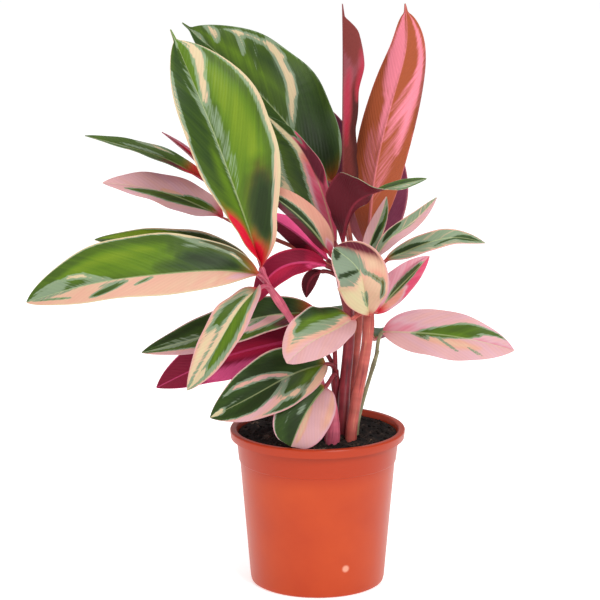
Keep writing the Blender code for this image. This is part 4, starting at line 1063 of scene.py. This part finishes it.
def pot_profile():
    """Radius and height from the middle of the underside, up the outside, over the lip and down inside."""
    collar_top = wall_inside(POT_HEIGHT) + WALL
    floor = RECESS + WALL
    return (
        (0, 0),
        (PAD_RADIUS, 0),
        (PAD_RADIUS + 0.8, RECESS),
        (FOOT_RING - 0.8, RECESS),
        (FOOT_RING, 0),
        (FOOT_RADIUS - 2.6, 0),
        (FOOT_RADIUS - 0.8, 1.0),
        (FOOT_RADIUS, FOOT_CORNER),
        (STEP_RADIUS - STEP_DEPTH, STEP_HEIGHT),
        (STEP_RADIUS, STEP_HEIGHT + STEP_DEPTH),
        (collar_top - 0.2, POT_HEIGHT - LIP_DEPTH),
        (collar_top + 0.6, POT_HEIGHT - 1.7),
        (LIP_RADIUS - 1.8, POT_HEIGHT - 1.7),
        (LIP_RADIUS - 1.9, POT_HEIGHT - LIP_DEPTH + 0.2),
        (LIP_RADIUS - 0.6, POT_HEIGHT - LIP_DEPTH),
        (LIP_RADIUS, POT_HEIGHT - 1.2),
        (LIP_RADIUS - 0.4, POT_HEIGHT - 0.4),
        (LIP_RADIUS - 1.2, POT_HEIGHT),
        (collar_top + 0.6, POT_HEIGHT),
        (collar_top - 0.3, POT_HEIGHT - 0.6),
        (collar_top - 1.0, POT_HEIGHT - 2.6),
        (wall_inside(SOIL_EDGE), SOIL_EDGE),
        (wall_inside(STEP_HEIGHT + 2 * STEP_DEPTH), STEP_HEIGHT + 2 * STEP_DEPTH),
        (wall_inside(STEP_HEIGHT), STEP_HEIGHT),
        (wall_inside(floor + 2.0), floor + 2.0),
        (wall_inside(floor) - 1.6, floor),
        (0, floor),
    )


def turned(name, profile, sides):
    """A body of revolution from radius and height pairs that start and end on the axis."""
    radii, heights = np.transpose(profile)[:, :, None]
    angles = np.linspace(0, 2 * math.pi, sides + 1)
    points = np.stack([radii * np.cos(angles), radii * np.sin(angles), heights + 0 * angles], axis=-1)
    thing, _, _ = shaped_grid(name, points)
    close_seam(thing)
    return thing


def pot():
    thing = turned("nursery_pot", pot_profile(), POT_SIDES)
    for k in range(DRAIN_HOLES):
        angle = 2 * math.pi * (k + 0.5) / DRAIN_HOLES
        x = DRAIN_CIRCLE * math.cos(angle) * MM
        y = DRAIN_CIRCLE * math.sin(angle) * MM
        deselect()
        bpy.ops.mesh.primitive_cylinder_add(
            vertices=32, radius=DRAIN_RADIUS * MM, depth=DRAIN_DEPTH * MM, location=(x, y, 0)
        )
        drill = bpy.context.object
        pick(thing)
        hole = thing.modifiers.new("drain", "BOOLEAN")
        hole.operation = "DIFFERENCE"
        hole.solver = "EXACT"
        hole.object = drill
        bpy.ops.object.modifier_apply(modifier=hole.name)
        bpy.data.objects.remove(drill)
    rounding = thing.modifiers.new("moulded edges", "BEVEL")
    rounding.width = MOULD_ROUNDING * MM
    rounding.segments = 3
    rounding.limit_method = "ANGLE"
    rounding.angle_limit = math.radians(20)
    bpy.ops.object.modifier_apply(modifier=rounding.name)
    coat(thing, "Moulded polypropylene, terracotta colour", 35)
    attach(thing, "root")
    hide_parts("pot")


def soil_height(x, y):
    """Height of the mix: heaped towards the middle and lumpy all over."""
    reach = np.hypot(x, y) / wall_inside(SOIL_EDGE)
    heap = SOIL_EDGE + SOIL_CROWN * (1 - np.clip(reach, 0, 1) ** 2)
    broad = np.sin(0.31 * x + 1.3) * np.sin(0.27 * y + 0.4)  # waves 20 mm long or more
    narrow = 0.6 * np.sin(0.55 * x - 0.47 * y)  # slanted ones of 9 mm
    calm = np.clip(3 * (1 - reach), 0, 1)  # towards the pot
    return heap + SOIL_LUMPS * (broad + narrow) * calm


def potting_mix():
    """The mix: a plug whose top is broken up by noise."""
    edge = wall_inside(SOIL_EDGE) - 0.1
    floor = RECESS + WALL + SOIL_GAP
    profile = [(0, floor), (wall_inside(floor) - 2.0, floor)]
    profile += [(wall_inside(z) - SOIL_GAP, z) for z in (floor + 2.0, STEP_HEIGHT, STEP_HEIGHT + 3)]
    profile += [(radius, SOIL_EDGE) for radius in np.linspace(edge, 0, SOIL_RINGS)]
    thing = turned("potting_mix", profile, SOIL_SIDES)
    for corner in thing.data.vertices:
        x, y, z = corner.co / MM
        if z > SOIL_EDGE - 0.01:
            rough = noise.fractal(Vector((x, y, 0)) * SOIL_GRAIN, *SOIL_NOISE)
            fade = min(1.0, (edge - math.hypot(x, y)) / SOIL_CALM)
            corner.co.z = (float(soil_height(x, y)) + SOIL_GRIT * rough * fade) * MM
    coat(thing, "Moist potting mix", 180)
    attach(thing, "root")
    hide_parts("soil")


def crumbs():
    """Crumbs of peat and bark: one rough lump, copied at seeded places, sizes and turns."""
    rng = np.random.default_rng(7)
    deselect()
    bpy.ops.mesh.primitive_ico_sphere_add(subdivisions=2, radius=1)
    lump = bpy.context.object
    shapes = []
    for _ in range(CRUMBS):
        copy = lump.copy()
        copy.data = lump.data.copy()
        bpy.context.scene.collection.objects.link(copy)
        reach = (wall_inside(SOIL_EDGE) - CRUMB_MARGIN) * math.sqrt(rng.random())
        angle = 2 * math.pi * rng.random()
        x = reach * math.cos(angle)
        y = reach * math.sin(angle)
        size = CRUMB_SIZES[0] + (CRUMB_SIZES[1] - CRUMB_SIZES[0]) * rng.random() ** 3
        stretch = Vector((1.0, rng.uniform(*CRUMB_DEPTHS), rng.uniform(*CRUMB_HEIGHTS))) * size / 2
        turn = Matrix.Rotation(rng.uniform(0, 2 * math.pi), 3, "Z")
        turn = turn @ Matrix.Rotation(rng.uniform(-CRUMB_TILT, CRUMB_TILT), 3, "Y")
        spot = Vector(rng.uniform(0, 90, 3))
        base = Vector((x, y, float(soil_height(x, y)) + CRUMB_LIFT * size))
        for corner in copy.data.vertices:
            point = corner.co * (1 + CRUMB_DENTS * noise.noise(corner.co * CRUMB_NOISE + spot))
            corner.co = (base + turn @ (point * stretch)) * MM
        shapes.append(copy)
    bpy.data.objects.remove(lump)
    thing = join(shapes, "peat_crumbs")
    coat(thing, "Moist potting mix", 50)
    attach(thing, "root")


def stage():
    """A plain pale floor, soft studio light and the camera at the photo's angle."""
    deselect()
    bpy.ops.mesh.primitive_plane_add(size=FLOOR_SIZE)
    floor = bpy.context.object
    floor.name = "studio_floor"
    floor.data.materials.append(bpy.data.materials["Pale studio floor"])

    world = bpy.data.worlds.new("Studio")
    world.use_nodes = True
    world.node_tree.nodes["Background"].inputs["Color"].default_value = (1, 1, 1, 1)
    world.node_tree.nodes["Background"].inputs["Strength"].default_value = SKY
    bpy.context.scene.world = world
    for name, place, size, power in LAMPS:
        light = bpy.data.lights.new(name, "AREA")
        light.size = size
        light.energy = power
        place_in_scene(name, light, place, LAMP_AIM)

    lens = bpy.data.cameras.new("Camera")
    lens.lens = CAMERA_LENS
    lens.sensor_width = SENSOR_WIDTH
    lens.clip_end = FAR_CLIP
    bpy.context.scene.camera = place_in_scene("Camera", lens, CAMERA_PLACE, CAMERA_AIM)
    bpy.context.scene.view_settings.view_transform = "Standard"


make_materials()
pot()
potting_mix()
crumbs()
for shoot in SHOOTS:
    stems(shoot)
young_sheath()
for number, leaf in enumerate(LEAVES):
    blade(leaf, number)
stage()
